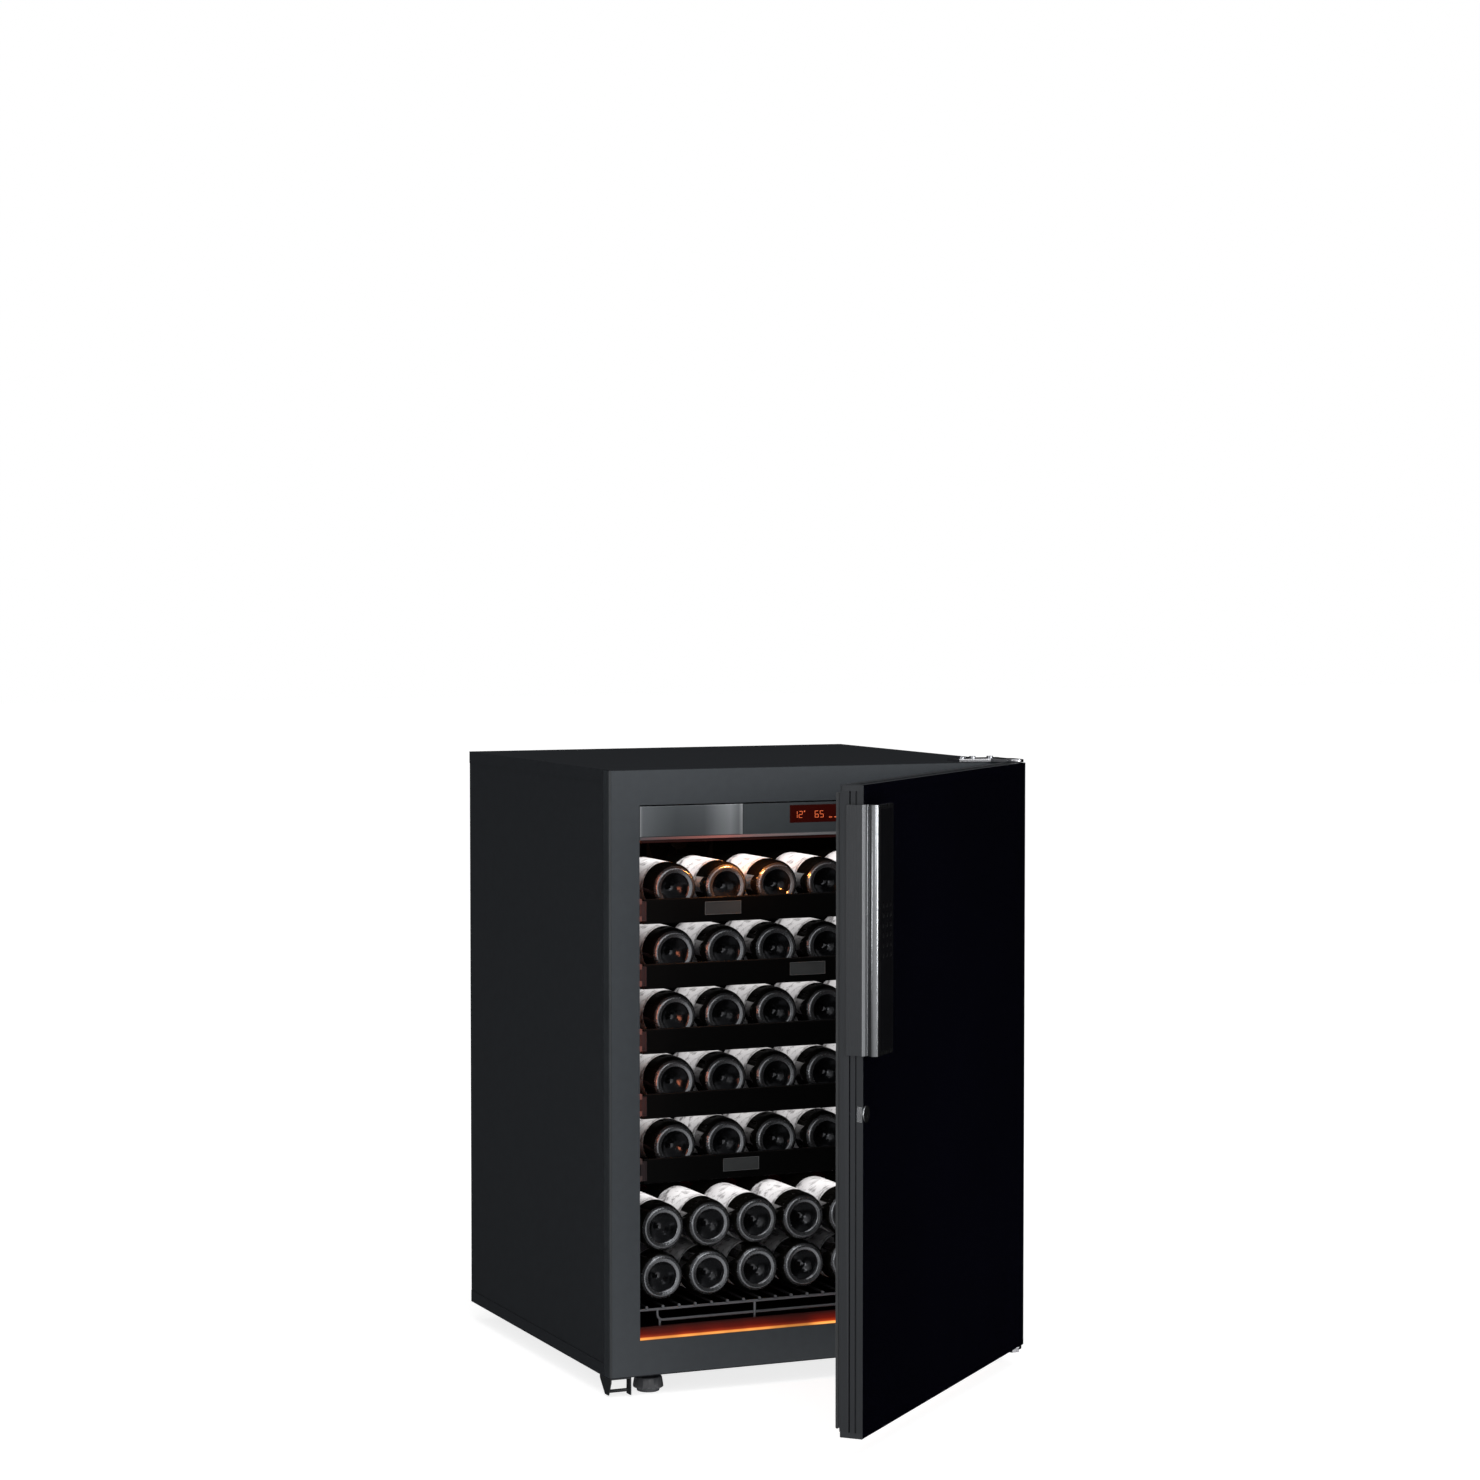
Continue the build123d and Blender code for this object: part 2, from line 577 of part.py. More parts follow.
BRACKET_LOW = 3.0
with BuildPart() as corner_bracket:
    bracket_x = (-HALF + 2, -HALF + 36)
    bracket_y = (FRONT + 1, FRONT + 46)
    block(bracket_x, bracket_y, (BASE - 2, BASE))
    with BuildSketch(Plane.YZ.offset(bracket_x[0])):
        with BuildLine():
            Polyline(
                (bracket_y[0], BASE),
                (bracket_y[0], BASE - 6),
                (bracket_y[0] + 10, BRACKET_LOW),
                (bracket_y[0] + 24, BRACKET_LOW),
                (bracket_y[1], BASE - 6),
                (bracket_y[1], BASE),
                close=True,
            )
        make_face()
    extrude(amount=2)
    with BuildSketch(Plane.YZ.offset(bracket_x[1] - 2)):
        with Locations((bracket_y[0] + 8, (BASE + BRACKET_LOW) / 2)):
            Rectangle(16, BASE - BRACKET_LOW)
    extrude(amount=2)
    spindle(2.6, bracket_x[1] - bracket_x[0], (bracket_x[0], bracket_y[0] + 12, BRACKET_LOW + 6), (1, 0, 0))
save(corner_bracket, "corner_bracket")

# ---------------------------------------------------------------- hinges

PLATE = 4.5
ARM_RADIUS = 14.0


def hinge_outline(back_x, back_y):
    """A hinge plate: a foot on the cabinet and an arm that ends in a round about the hinge axis."""
    with BuildLine() as outline:
        Polyline(
            (HINGE_X + ARM_RADIUS, HINGE_Y),
            (HINGE_X + ARM_RADIUS, FRONT + 2),
            (HALF - 3, FRONT + 8),
            (HALF - 3, back_y),
            (back_x, back_y),
            (back_x, FRONT + 4),
            (HINGE_X - ARM_RADIUS - 14, FRONT - 2),
            (HINGE_X - ARM_RADIUS, HINGE_Y),
        )
        RadiusArc((HINGE_X - ARM_RADIUS, HINGE_Y), (HINGE_X + ARM_RADIUS, HINGE_Y), -ARM_RADIUS)
    make_face(outline.edges())


with BuildPart() as hinge_top:
    with BuildSketch(Plane.XY.offset(TOP)):
        hinge_outline(250.0, FRONT + 46)
    extrude(amount=PLATE)
    fillet(hinge_top.faces().sort_by(Axis.Z)[-1].edges(), 0.8)
    spindle(PIN_RADIUS, 20, (HINGE_X, HINGE_Y, TOP - 20), (0, 0, 1))
save(hinge_top, "hinge_top")

with BuildPart() as hinge_bottom:
    with BuildSketch(Plane.XY.offset(BASE - PLATE)):
        hinge_outline(288.0, FRONT + 60)
    extrude(amount=PLATE)
    with BuildSketch(Plane.XY.offset(BASE - PLATE - 6)):
        with Locations((HINGE_X, HINGE_Y)):
            RegularPolygon(7.5, 6)
    extrude(amount=6)
    block((HALF, HINGE_X + ARM_RADIUS), (HINGE_Y + 4, HINGE_Y + 22), (BASE - 13, BASE - PLATE))
    spindle(PIN_RADIUS, 20, (HINGE_X, HINGE_Y, BASE), (0, 0, 1))
save(hinge_bottom, "hinge_bottom")

SCREW_SPOTS = {
    TOP + PLATE: ((264, FRONT + 24), (288, FRONT + 34), (318, FRONT + 32)),
    BASE - PLATE: ((302, FRONT + 24), (302, FRONT + 48), (326, FRONT + 34)),
}
with BuildPart() as hinge_screws:
    for head_z, spots in SCREW_SPOTS.items():
        up = head_z > BASE
        for spot_x, spot_y in spots:
            spindle(5.2, 2.6, (spot_x, spot_y, head_z), (0, 0, 1 if up else -1))
            socket_z = head_z + (1.0 if up else -1.0)
            with BuildSketch(Plane(origin=(spot_x, spot_y, socket_z), z_dir=(0, 0, 1 if up else -1))):
                RegularPolygon(2.4, 6)
            extrude(amount=1.6, mode=Mode.SUBTRACT)
save(hinge_screws, "hinge_screws")

# ---------------------------------------------------------------- door

LOCK_X = FREE + LOCK_INSET
LOCK_Z = BASE + LOCK_HEIGHT
OUTWARD = (sin(SWING), -cos(SWING), 0)


def door_point(x, y, z):
    """A point given in the door's frame, in the row frame."""
    return tuple(DOOR.from_local_coords((x, y, z)))


def along_lock(depth):
    """A point on the lock's axis, depth behind the glass's outer face."""
    return door_point(LOCK_X, OUTER + depth, LOCK_Z)


LOCK_FACE = Plane(origin=along_lock(0), x_dir=DOOR.x_dir, z_dir=OUTWARD)
LOCK_SLOT = (
    (FREE, FREE + EDGE_LIP),
    (OUTER + 0.8, OUTER + 0.8 + LOCK_PLATE[1]),
    (LOCK_Z - LOCK_PLATE[0] / 2, LOCK_Z + LOCK_PLATE[0] / 2),
)

with BuildPart(DOOR) as door_glass:
    block((FREE + EDGE_LIP, HINGED - EDGE_LIP), (OUTER, BEHIND_GLASS), (DOOR_LOW, DOOR_HIGH))
    with BuildSketch(LOCK_FACE.offset(2)):
        Circle(LOCK_RADIUS + 0.6)
    extrude(amount=-GLASS_THICK - 4, mode=Mode.SUBTRACT)
save(door_glass, "door_glass")


def stile_outline(edge, inwards):
    """A hollow stile seen from above: a lip at the glass, two grooves and a flat on its outer side."""
    depths = (8.8, 11.2, 18.4, 20.6)
    shallow = 2.5 * inwards
    deep = 4.0 * inwards
    lip = EDGE_LIP * inwards
    with BuildLine() as outline:
        Polyline(
            (edge, OUTER),
            (edge, OUTER + depths[0]),
            (edge + shallow, OUTER + depths[0]),
            (edge + shallow, OUTER + depths[1]),
            (edge, OUTER + depths[1]),
            (edge, OUTER + depths[2]),
            (edge + deep, OUTER + depths[2]),
            (edge + deep, OUTER + depths[3]),
            (edge, OUTER + depths[3]),
            (edge, INNER),
            (edge + STILE_WIDTH * inwards, INNER),
            (edge + STILE_WIDTH * inwards, BEHIND_GLASS),
            (edge + lip, BEHIND_GLASS),
            (edge + lip, OUTER),
            close=True,
        )
    make_face(outline.edges())


for name, edge, inwards in (("door_stile_free", FREE, 1), ("door_stile_hinge", HINGED, -1)):
    with BuildPart(DOOR) as stile:
        with BuildSketch(DOOR.offset(CORE_LOW)):
            stile_outline(edge, inwards)
            with Locations((edge + (STILE_WIDTH / 2 + 2) * inwards, (BEHIND_GLASS + INNER) / 2)):
                Rectangle(STILE_WIDTH - 8, INNER - BEHIND_GLASS - 5, mode=Mode.SUBTRACT)
        extrude(amount=CORE_HIGH - CORE_LOW)
        if inwards > 0:
            with BuildSketch(LOCK_FACE.offset(1)):
                Circle(LOCK_RADIUS + 0.6)
            extrude(amount=-30, mode=Mode.SUBTRACT)
            block(LOCK_SLOT[0], LOCK_SLOT[1], LOCK_SLOT[2], Mode.SUBTRACT)
    save(stile, name)

for name, low, high, pin_z in (
    ("door_cap_top", CORE_HIGH, DOOR_HIGH, DOOR_HIGH - 22),
    ("door_cap_bottom", DOOR_LOW, CORE_LOW, DOOR_LOW),
):
    is_top = name.endswith("top")
    with BuildPart(DOOR) as cap:
        block((FREE, HINGED), (BEHIND_GLASS, INNER), (low, high))
        for lip_x in ((FREE, FREE + EDGE_LIP), (HINGED - EDGE_LIP, HINGED)):
            block(lip_x, (OUTER, BEHIND_GLASS), (low, high))
        fillet(cap.edges().filter_by(Axis.Z).filter_by(lambda e: DOOR.to_local_coords(e).center().Y > 0), 3)
        face_z = high if is_top else low
        groove_z = (face_z - 2, face_z) if is_top else (face_z, face_z + 2)
        block((FREE + 24, HINGED - 34), (-3, 9), groove_z, Mode.SUBTRACT)
        spindle(PIN_RADIUS + PIN_FIT, 22, (0, 0, pin_z), (0, 0, 1), Mode.SUBTRACT)
    save(cap, name)

INNER_SHEET = 1.5
with BuildPart(DOOR) as door_core:
    core_x = (FREE + STILE_WIDTH, HINGED - STILE_WIDTH)
    block(core_x, (BEHIND_GLASS, INNER - INNER_SHEET), (CORE_LOW, CORE_HIGH))
save(door_core, "door_core")

with BuildPart(DOOR) as door_inner_panel:
    block(core_x, (INNER - INNER_SHEET, INNER), (CORE_LOW, CORE_HIGH))
save(door_inner_panel, "door_inner_panel")

GASKET_WIDTH = 20.0
with BuildPart(DOOR) as door_gasket:
    gasket_x = (FREE + 4, HINGED - 12)
    gasket_z = (DOOR_LOW + 10, DOOR_HIGH - 10)
    block(gasket_x, (INNER, INNER + GASKET_THICK), gasket_z)
    block(
        (gasket_x[0] + GASKET_WIDTH, gasket_x[1] - GASKET_WIDTH),
        (INNER, INNER + GASKET_THICK),
        (gasket_z[0] + GASKET_WIDTH, gasket_z[1] - GASKET_WIDTH),
        Mode.SUBTRACT,
    )
save(door_gasket, "door_gasket")

# ---------------------------------------------------------------- handle and lock

FLANGE_THICK = 3.0
BLADE = 4.5
with BuildPart(DOOR) as handle_profile:
    with BuildSketch(DOOR.offset(BASE + HANDLE_LOW)) as handle_section:
        bar_x = FREE + 7.0
        bar_y = OUTER - HANDLE_STAND + BAR_RADIUS
        with Locations((FREE - FLANGE_THICK / 2, OUTER + 12)):
            Rectangle(FLANGE_THICK, 24)
        with BuildLine():
            Polyline(
                (FREE - FLANGE_THICK, OUTER + 1),
                (FREE - FLANGE_THICK, OUTER),
                (FREE + 0.7, OUTER - 3.7),
                (FREE + 10, OUTER - 3.7),
                (FREE + 10, OUTER),
                (FREE, OUTER),
                (FREE, OUTER + 1),
                close=True,
            )
        make_face()
        with Locations((bar_x, OUTER - 5)):
            Rectangle(5, 10)
        with Locations((bar_x, bar_y)):
            Circle(BAR_RADIUS)
        blade_x = (bar_x, FREE + HANDLE_WIDTH)
        with Locations(((blade_x[0] + blade_x[1]) / 2, OUTER - HANDLE_STAND + BLADE / 2)):
            Rectangle(blade_x[1] - blade_x[0], BLADE)
        fillet(handle_section.vertices().sort_by(Axis.X)[-2:], 1.6)
    extrude(amount=HANDLE_HIGH - HANDLE_LOW)
    block(
        (FREE + INSERT_FROM, FREE + HANDLE_WIDTH - 3.5),
        (OUTER - HANDLE_STAND, OUTER - HANDLE_STAND + 1.2),
        (BASE + HANDLE_LOW + 6, BASE + HANDLE_HIGH - 6),
        Mode.SUBTRACT,
    )
save(handle_profile, "handle_profile")

with BuildPart(DOOR) as handle_insert:
    insert_x = (FREE + INSERT_FROM, FREE + HANDLE_WIDTH - 3.5)
    insert_y = (OUTER - HANDLE_STAND - 0.4, OUTER - HANDLE_STAND + 1.2)
    insert_z = (BASE + HANDLE_LOW + 6, BASE + HANDLE_HIGH - 6)
    block(insert_x, insert_y, insert_z)
    grip = Plane(
        origin=door_point(sum(insert_x) / 2, insert_y[0], sum(insert_z) / 2),
        x_dir=DOOR.x_dir,
        z_dir=OUTWARD,
    )
    with BuildSketch(grip):
        with GridLocations(14, 14, 3, 6):
            Circle(4.6)
    extrude(amount=-1.0, mode=Mode.SUBTRACT)
save(handle_insert, "handle_insert")

with BuildPart() as lock_cylinder:
    with BuildSketch(LOCK_FACE.offset(0.4)):
        Circle(12)
    extrude(amount=2.2)
    fillet(lock_cylinder.faces().sort_by(Axis(along_lock(0), OUTWARD))[-1].edges(), 0.8)
    spindle(LOCK_RADIUS, 23, along_lock(22), OUTWARD)
    with BuildSketch(LOCK_FACE.offset(2.6)):
        Rectangle(2.2, 10)
    extrude(amount=-5, mode=Mode.SUBTRACT)
    with BuildSketch(LOCK_FACE.offset(-22)):
        with Locations((3.5, 0)):
            SlotOverall(17, 7.4)
    extrude(amount=-3)
save(lock_cylinder, "lock_cylinder")

with BuildPart(DOOR) as lock_plate:
    block(*LOCK_SLOT)
save(lock_plate, "lock_plate")
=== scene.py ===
"""Wine cooler: materials, detail pieces, bottles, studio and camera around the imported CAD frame."""
import json
import math
import random

import bpy
from mathutils import Matrix, Vector


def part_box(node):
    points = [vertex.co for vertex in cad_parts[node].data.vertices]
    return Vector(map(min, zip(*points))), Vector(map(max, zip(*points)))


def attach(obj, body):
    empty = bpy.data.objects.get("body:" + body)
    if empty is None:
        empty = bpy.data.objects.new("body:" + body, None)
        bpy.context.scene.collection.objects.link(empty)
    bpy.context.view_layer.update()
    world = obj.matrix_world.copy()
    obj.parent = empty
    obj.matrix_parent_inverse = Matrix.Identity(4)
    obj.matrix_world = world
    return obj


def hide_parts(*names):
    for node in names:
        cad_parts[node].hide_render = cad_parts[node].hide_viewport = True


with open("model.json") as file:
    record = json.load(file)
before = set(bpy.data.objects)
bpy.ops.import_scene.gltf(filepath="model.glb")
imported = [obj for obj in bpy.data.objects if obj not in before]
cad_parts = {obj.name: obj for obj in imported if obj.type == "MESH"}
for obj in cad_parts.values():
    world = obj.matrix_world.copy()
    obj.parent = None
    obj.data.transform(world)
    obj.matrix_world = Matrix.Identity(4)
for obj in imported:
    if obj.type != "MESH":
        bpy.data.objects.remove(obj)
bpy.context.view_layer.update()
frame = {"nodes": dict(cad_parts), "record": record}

MM = 0.001
NODES = frame["nodes"]
RECORD = frame["record"]
random.seed(7)

# ------------------------------------------------------------------ places taken from the frame

DOOR_JOINT = next(j for j in RECORD["behaviour"]["joints"] if j["name"] == "door_hinge")
HINGE = Vector(DOOR_JOINT["pos_m"])
REST = math.radians(-DOOR_JOINT["range_deg"][0])
DOOR = Matrix.Translation((HINGE.x, HINGE.y, 0)) @ Matrix.Rotation(REST, 4, "Z")
DOOR_BACK = DOOR.inverted()


def door_box(node):
    """Lowest and highest corner of a door node in the door's own frame, as when it is shut."""
    points = [DOOR_BACK @ v.co for v in NODES[node].data.vertices]
    low = Vector([min(p[i] for p in points) for i in range(3)])
    high = Vector([max(p[i] for p in points) for i in range(3)])
    return low, high


# ------------------------------------------------------------------ materials


def srgb(r, g, b):
    """Linear colour from 0-255 screen values."""
    def linear(c):
        c /= 255
        return c / 12.92 if c <= 0.04045 else ((c + 0.055) / 1.055) ** 2.4
    return (linear(r), linear(g), linear(b), 1.0)


def shade(colour, k):
    return tuple(min(1.0, c * k) for c in colour[:3]) + (1.0,)


def material(
    name, colour, rough, metal=0.0, mottle=0.12, size=60.0, stretch=(1, 1, 1), bump=0.05, depth=0.0002,
    rough_vary=0.06, coat=0.0, spec=0.5, glow=None, sheen=0.0, edge_highlight=None,
):
    """A principled material with noise in its colour, roughness and surface."""
    mat = bpy.data.materials.new(name)
    mat.use_nodes = True
    tree = mat.node_tree
    new, link = tree.nodes.new, tree.links.new
    bsdf = tree.nodes["Principled BSDF"]
    coords = new("ShaderNodeTexCoord")
    mapping = new("ShaderNodeMapping")
    mapping.inputs["Scale"].default_value = stretch
    link(coords.outputs["Object"], mapping.inputs["Vector"])
    fine = new("ShaderNodeTexNoise")
    fine.inputs["Scale"].default_value = size
    fine.inputs["Detail"].default_value = 5
    fine.inputs["Roughness"].default_value = 0.6
    broad = new("ShaderNodeTexNoise")
    broad.inputs["Scale"].default_value = max(2.0, size / 12)
    broad.inputs["Detail"].default_value = 3
    for noise in (fine, broad):
        link(mapping.outputs["Vector"], noise.inputs["Vector"])
    ramp = new("ShaderNodeValToRGB")
    ramp.color_ramp.elements[0].position = 0.3
    ramp.color_ramp.elements[1].position = 0.7
    ramp.color_ramp.elements[0].color = shade(colour, 1 - mottle)
    ramp.color_ramp.elements[1].color = shade(colour, 1 + mottle)
    link(broad.outputs["Fac"], ramp.inputs["Fac"])
    base = ramp.outputs["Color"]
    # Optional lighter colour on convex edges, found from pointiness: a painted highlight where the edges
    # catch the light.
    if edge_highlight is not None:
        edge = new("ShaderNodeNewGeometry")
        lift = new("ShaderNodeMapRange")
        lift.inputs["From Min"].default_value = 0.53
        lift.inputs["From Max"].default_value = 0.62
        link(edge.outputs["Pointiness"], lift.inputs["Value"])
        mix = new("ShaderNodeMix")
        mix.data_type = "RGBA"
        mix.inputs["B"].default_value = edge_highlight
        link(lift.outputs["Result"], mix.inputs["Factor"])
        link(base, mix.inputs["A"])
        base = mix.outputs["Result"]
    link(base, bsdf.inputs["Base Color"])
    rough_map = new("ShaderNodeMapRange")
    rough_map.inputs["To Min"].default_value = max(0.02, rough - rough_vary)
    rough_map.inputs["To Max"].default_value = min(1.0, rough + rough_vary)
    link(fine.outputs["Fac"], rough_map.inputs["Value"])
    link(rough_map.outputs["Result"], bsdf.inputs["Roughness"])
    bumps = new("ShaderNodeBump")
    bumps.inputs["Strength"].default_value = bump
    bumps.inputs["Distance"].default_value = depth
    link(fine.outputs["Fac"], bumps.inputs["Height"])
    link(bumps.outputs["Normal"], bsdf.inputs["Normal"])
    bsdf.inputs["Metallic"].default_value = metal
    bsdf.inputs["Specular IOR Level"].default_value = spec
    bsdf.inputs["Coat Weight"].default_value = coat
    bsdf.inputs["Coat Roughness"].default_value = 0.04
    bsdf.inputs["Sheen Weight"].default_value = sheen
    if glow is not None:
        bsdf.inputs["Emission Color"].default_value = glow[0]
        bsdf.inputs["Emission Strength"].default_value = glow[1]
    return mat


def ramp_along(mat, axis, start, end, stops):
    """Adds a colour ramp over object position on one axis and returns its colour output."""
    tree = mat.node_tree
    new, link = tree.nodes.new, tree.links.new
    coords = new("ShaderNodeTexCoord")
    parts = new("ShaderNodeSeparateXYZ")
    link(coords.outputs["Object"], parts.inputs["Vector"])
    span = new("ShaderNodeMapRange")
    span.inputs["From Min"].default_value = start
    span.inputs["From Max"].default_value = end
    link(parts.outputs[axis], span.inputs["Value"])
    ramp = new("ShaderNodeValToRGB")
    elements = ramp.color_ramp.elements
    elements[0].position, elements[0].color = stops[0]
    elements[1].position, elements[1].color = stops[-1]
    for position, colour in stops[1:-1]:
        elements.new(position).color = colour
    link(span.outputs["Result"], ramp.inputs["Fac"])
    return ramp.outputs["Color"]


def glowing_bar(name):
    """Amber diffuser: a bright line along its lowest front edge, dark red above, uneven along its length."""
    mat = material(name, srgb(44, 24, 22), 0.4, mottle=0.2, size=90, spec=0.15)
    tree = mat.node_tree
    new, link = tree.nodes.new, tree.links.new
    bsdf = tree.nodes["Principled BSDF"]
    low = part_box("light_bars")[0].z
    colour = ramp_along(mat, "Z", low, low + 0.016, [
        (0.0, srgb(120, 40, 4)), (0.05, srgb(255, 176, 92)), (0.22, srgb(255, 150, 66)),
        (0.3, srgb(150, 44, 4)), (0.55, srgb(86, 10, 2)), (1.0, srgb(18, 2, 2)),
    ])
    coords = new("ShaderNodeTexCoord")
    parts = new("ShaderNodeSeparateXYZ")
    link(coords.outputs["Object"], parts.inputs["Vector"])
    spots = new("ShaderNodeTexNoise")
    spots.inputs["Scale"].default_value = 11
    spots.noise_dimensions = "1D"
    link(parts.outputs["X"], spots.inputs["W"])
    power = new("ShaderNodeMapRange")
    power.inputs["From Min"].default_value = 0.35
    power.inputs["From Max"].default_value = 0.7
    power.inputs["To Min"].default_value = 0.55
    power.inputs["To Max"].default_value = 1.6
    link(spots.outputs["Fac"], power.inputs["Value"])
    link(colour, bsdf.inputs["Emission Color"])
    link(power.outputs["Result"], bsdf.inputs["Emission Strength"])
    return mat


def plate_with_painted_reflection(name):
    """Brushed facing with painted reflections: a bright line at its left edge, darker in the middle, and
    lighter towards and at its right end.
    """
    mat = material(
        name, srgb(126, 130, 132), 0.34, metal=0.7, size=240, stretch=(5, 1, 0.03), bump=0.12, depth=0.00006,
        mottle=0.06, rough_vary=0.1,
    )
    low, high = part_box("control_plate")
    colour = ramp_along(mat, "X", low.x, high.x, [
        (0.0, srgb(150, 152, 155)), (0.025, srgb(112, 116, 120)), (0.35, srgb(92, 97, 100)),
        (0.62, srgb(106, 110, 114)), (0.88, srgb(180, 184, 188)), (0.96, srgb(150, 154, 158)),
        (1.0, srgb(215, 217, 220)),
    ])
    tree = mat.node_tree
    tree.links.new(colour, tree.nodes["Principled BSDF"].inputs["Base Color"])
    return mat


def handle_metal(name, paint_colour):
    """Satin aluminium on the pull, door paint on the flange that lies on the door's edge."""
    mat = material(
        name, srgb(150, 152, 155), 0.26, metal=1.0, size=260, stretch=(6, 6, 0.05), bump=0.12, depth=0.00006,
        mottle=0.08, rough_vary=0.06,
    )
    tree = mat.node_tree
    new, link = tree.nodes.new, tree.links.new
    bsdf = tree.nodes["Principled BSDF"]
    base = bsdf.inputs["Base Color"].links[0].from_socket
    inwards = DOOR.to_3x3() @ Vector((0, 1, 0))
    coords = new("ShaderNodeTexCoord")
    depth = new("ShaderNodeVectorMath")
    depth.operation = "DOT_PRODUCT"
    depth.inputs[1].default_value = inwards
    link(coords.outputs["Object"], depth.inputs[0])
    glass_at = DOOR @ Vector((0, door_box("door_glass")[0].y, 0))
    edge = inwards.dot(glass_at)
    mask = new("ShaderNodeMapRange")
    mask.inputs["From Min"].default_value = edge - 0.0002
    mask.inputs["From Max"].default_value = edge + 0.0001
    link(depth.outputs["Value"], mask.inputs["Value"])
    mix = new("ShaderNodeMix")
    mix.data_type = "RGBA"
    mix.inputs["B"].default_value = paint_colour
    link(mask.outputs["Result"], mix.inputs["Factor"])
    link(base, mix.inputs["A"])
    link(mix.outputs["Result"], bsdf.inputs["Base Color"])
    metal = new("ShaderNodeMapRange")
    metal.inputs["To Min"].default_value = 1.0
    metal.inputs["To Max"].default_value = 0.1
    link(mask.outputs["Result"], metal.inputs["Value"])
    link(metal.outputs["Result"], bsdf.inputs["Metallic"])
    return mat


def lip_with_painted_glow(name):
    """Smoked strip under the control panel; the light of the lamps behind its left part is painted into its
    colour as a pinkish glow there, grey to the right.
    """
    mat = material(name, srgb(110, 110, 112), 0.35, mottle=0.1, size=120, spec=0.4)
    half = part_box("control_panel")[1].x
    colour = ramp_along(mat, "X", -half, half, [
        (0.0, srgb(82, 74, 78)), (0.1, srgb(120, 78, 74)), (0.24, srgb(178, 112, 104)),
        (0.33, srgb(142, 114, 112)), (0.5, srgb(122, 121, 123)), (1.0, srgb(112, 113, 115)),
    ])
    tree = mat.node_tree
    tree.links.new(colour, tree.nodes["Principled BSDF"].inputs["Base Color"])
    return mat


def paper(name):
    """Pale label stock with soft grey patches where a print would be."""
    mat = material(name, srgb(214, 214, 217), 0.8, mottle=0.06, size=220, bump=0.25, spec=0.1)
    tree = mat.node_tree
    new, link = tree.nodes.new, tree.links.new
    bsdf = tree.nodes["Principled BSDF"]
    base = bsdf.inputs["Base Color"].links[0].from_socket
    coords = new("ShaderNodeTexCoord")
    mapping = new("ShaderNodeMapping")
    mapping.inputs["Scale"].default_value = (0.45, 1.0, 1.0)
    link(coords.outputs["Object"], mapping.inputs["Vector"])
    marks = new("ShaderNodeTexNoise")
    marks.inputs["Scale"].default_value = 85
    marks.inputs["Detail"].default_value = 4
    marks.inputs["Roughness"].default_value = 0.7
    link(mapping.outputs["Vector"], marks.inputs["Vector"])
    cut = new("ShaderNodeMapRange")
    cut.inputs["From Min"].default_value = 0.5
    cut.inputs["From Max"].default_value = 0.64
    cut.inputs["To Max"].default_value = 0.85
    link(marks.outputs["Fac"], cut.inputs["Value"])
    mix = new("ShaderNodeMix")
    mix.data_type = "RGBA"
    mix.inputs["B"].default_value = srgb(92, 90, 92)
    link(cut.outputs["Result"], mix.inputs["Factor"])
    link(base, mix.inputs["A"])
    link(mix.outputs["Result"], bsdf.inputs["Base Color"])
    return mat


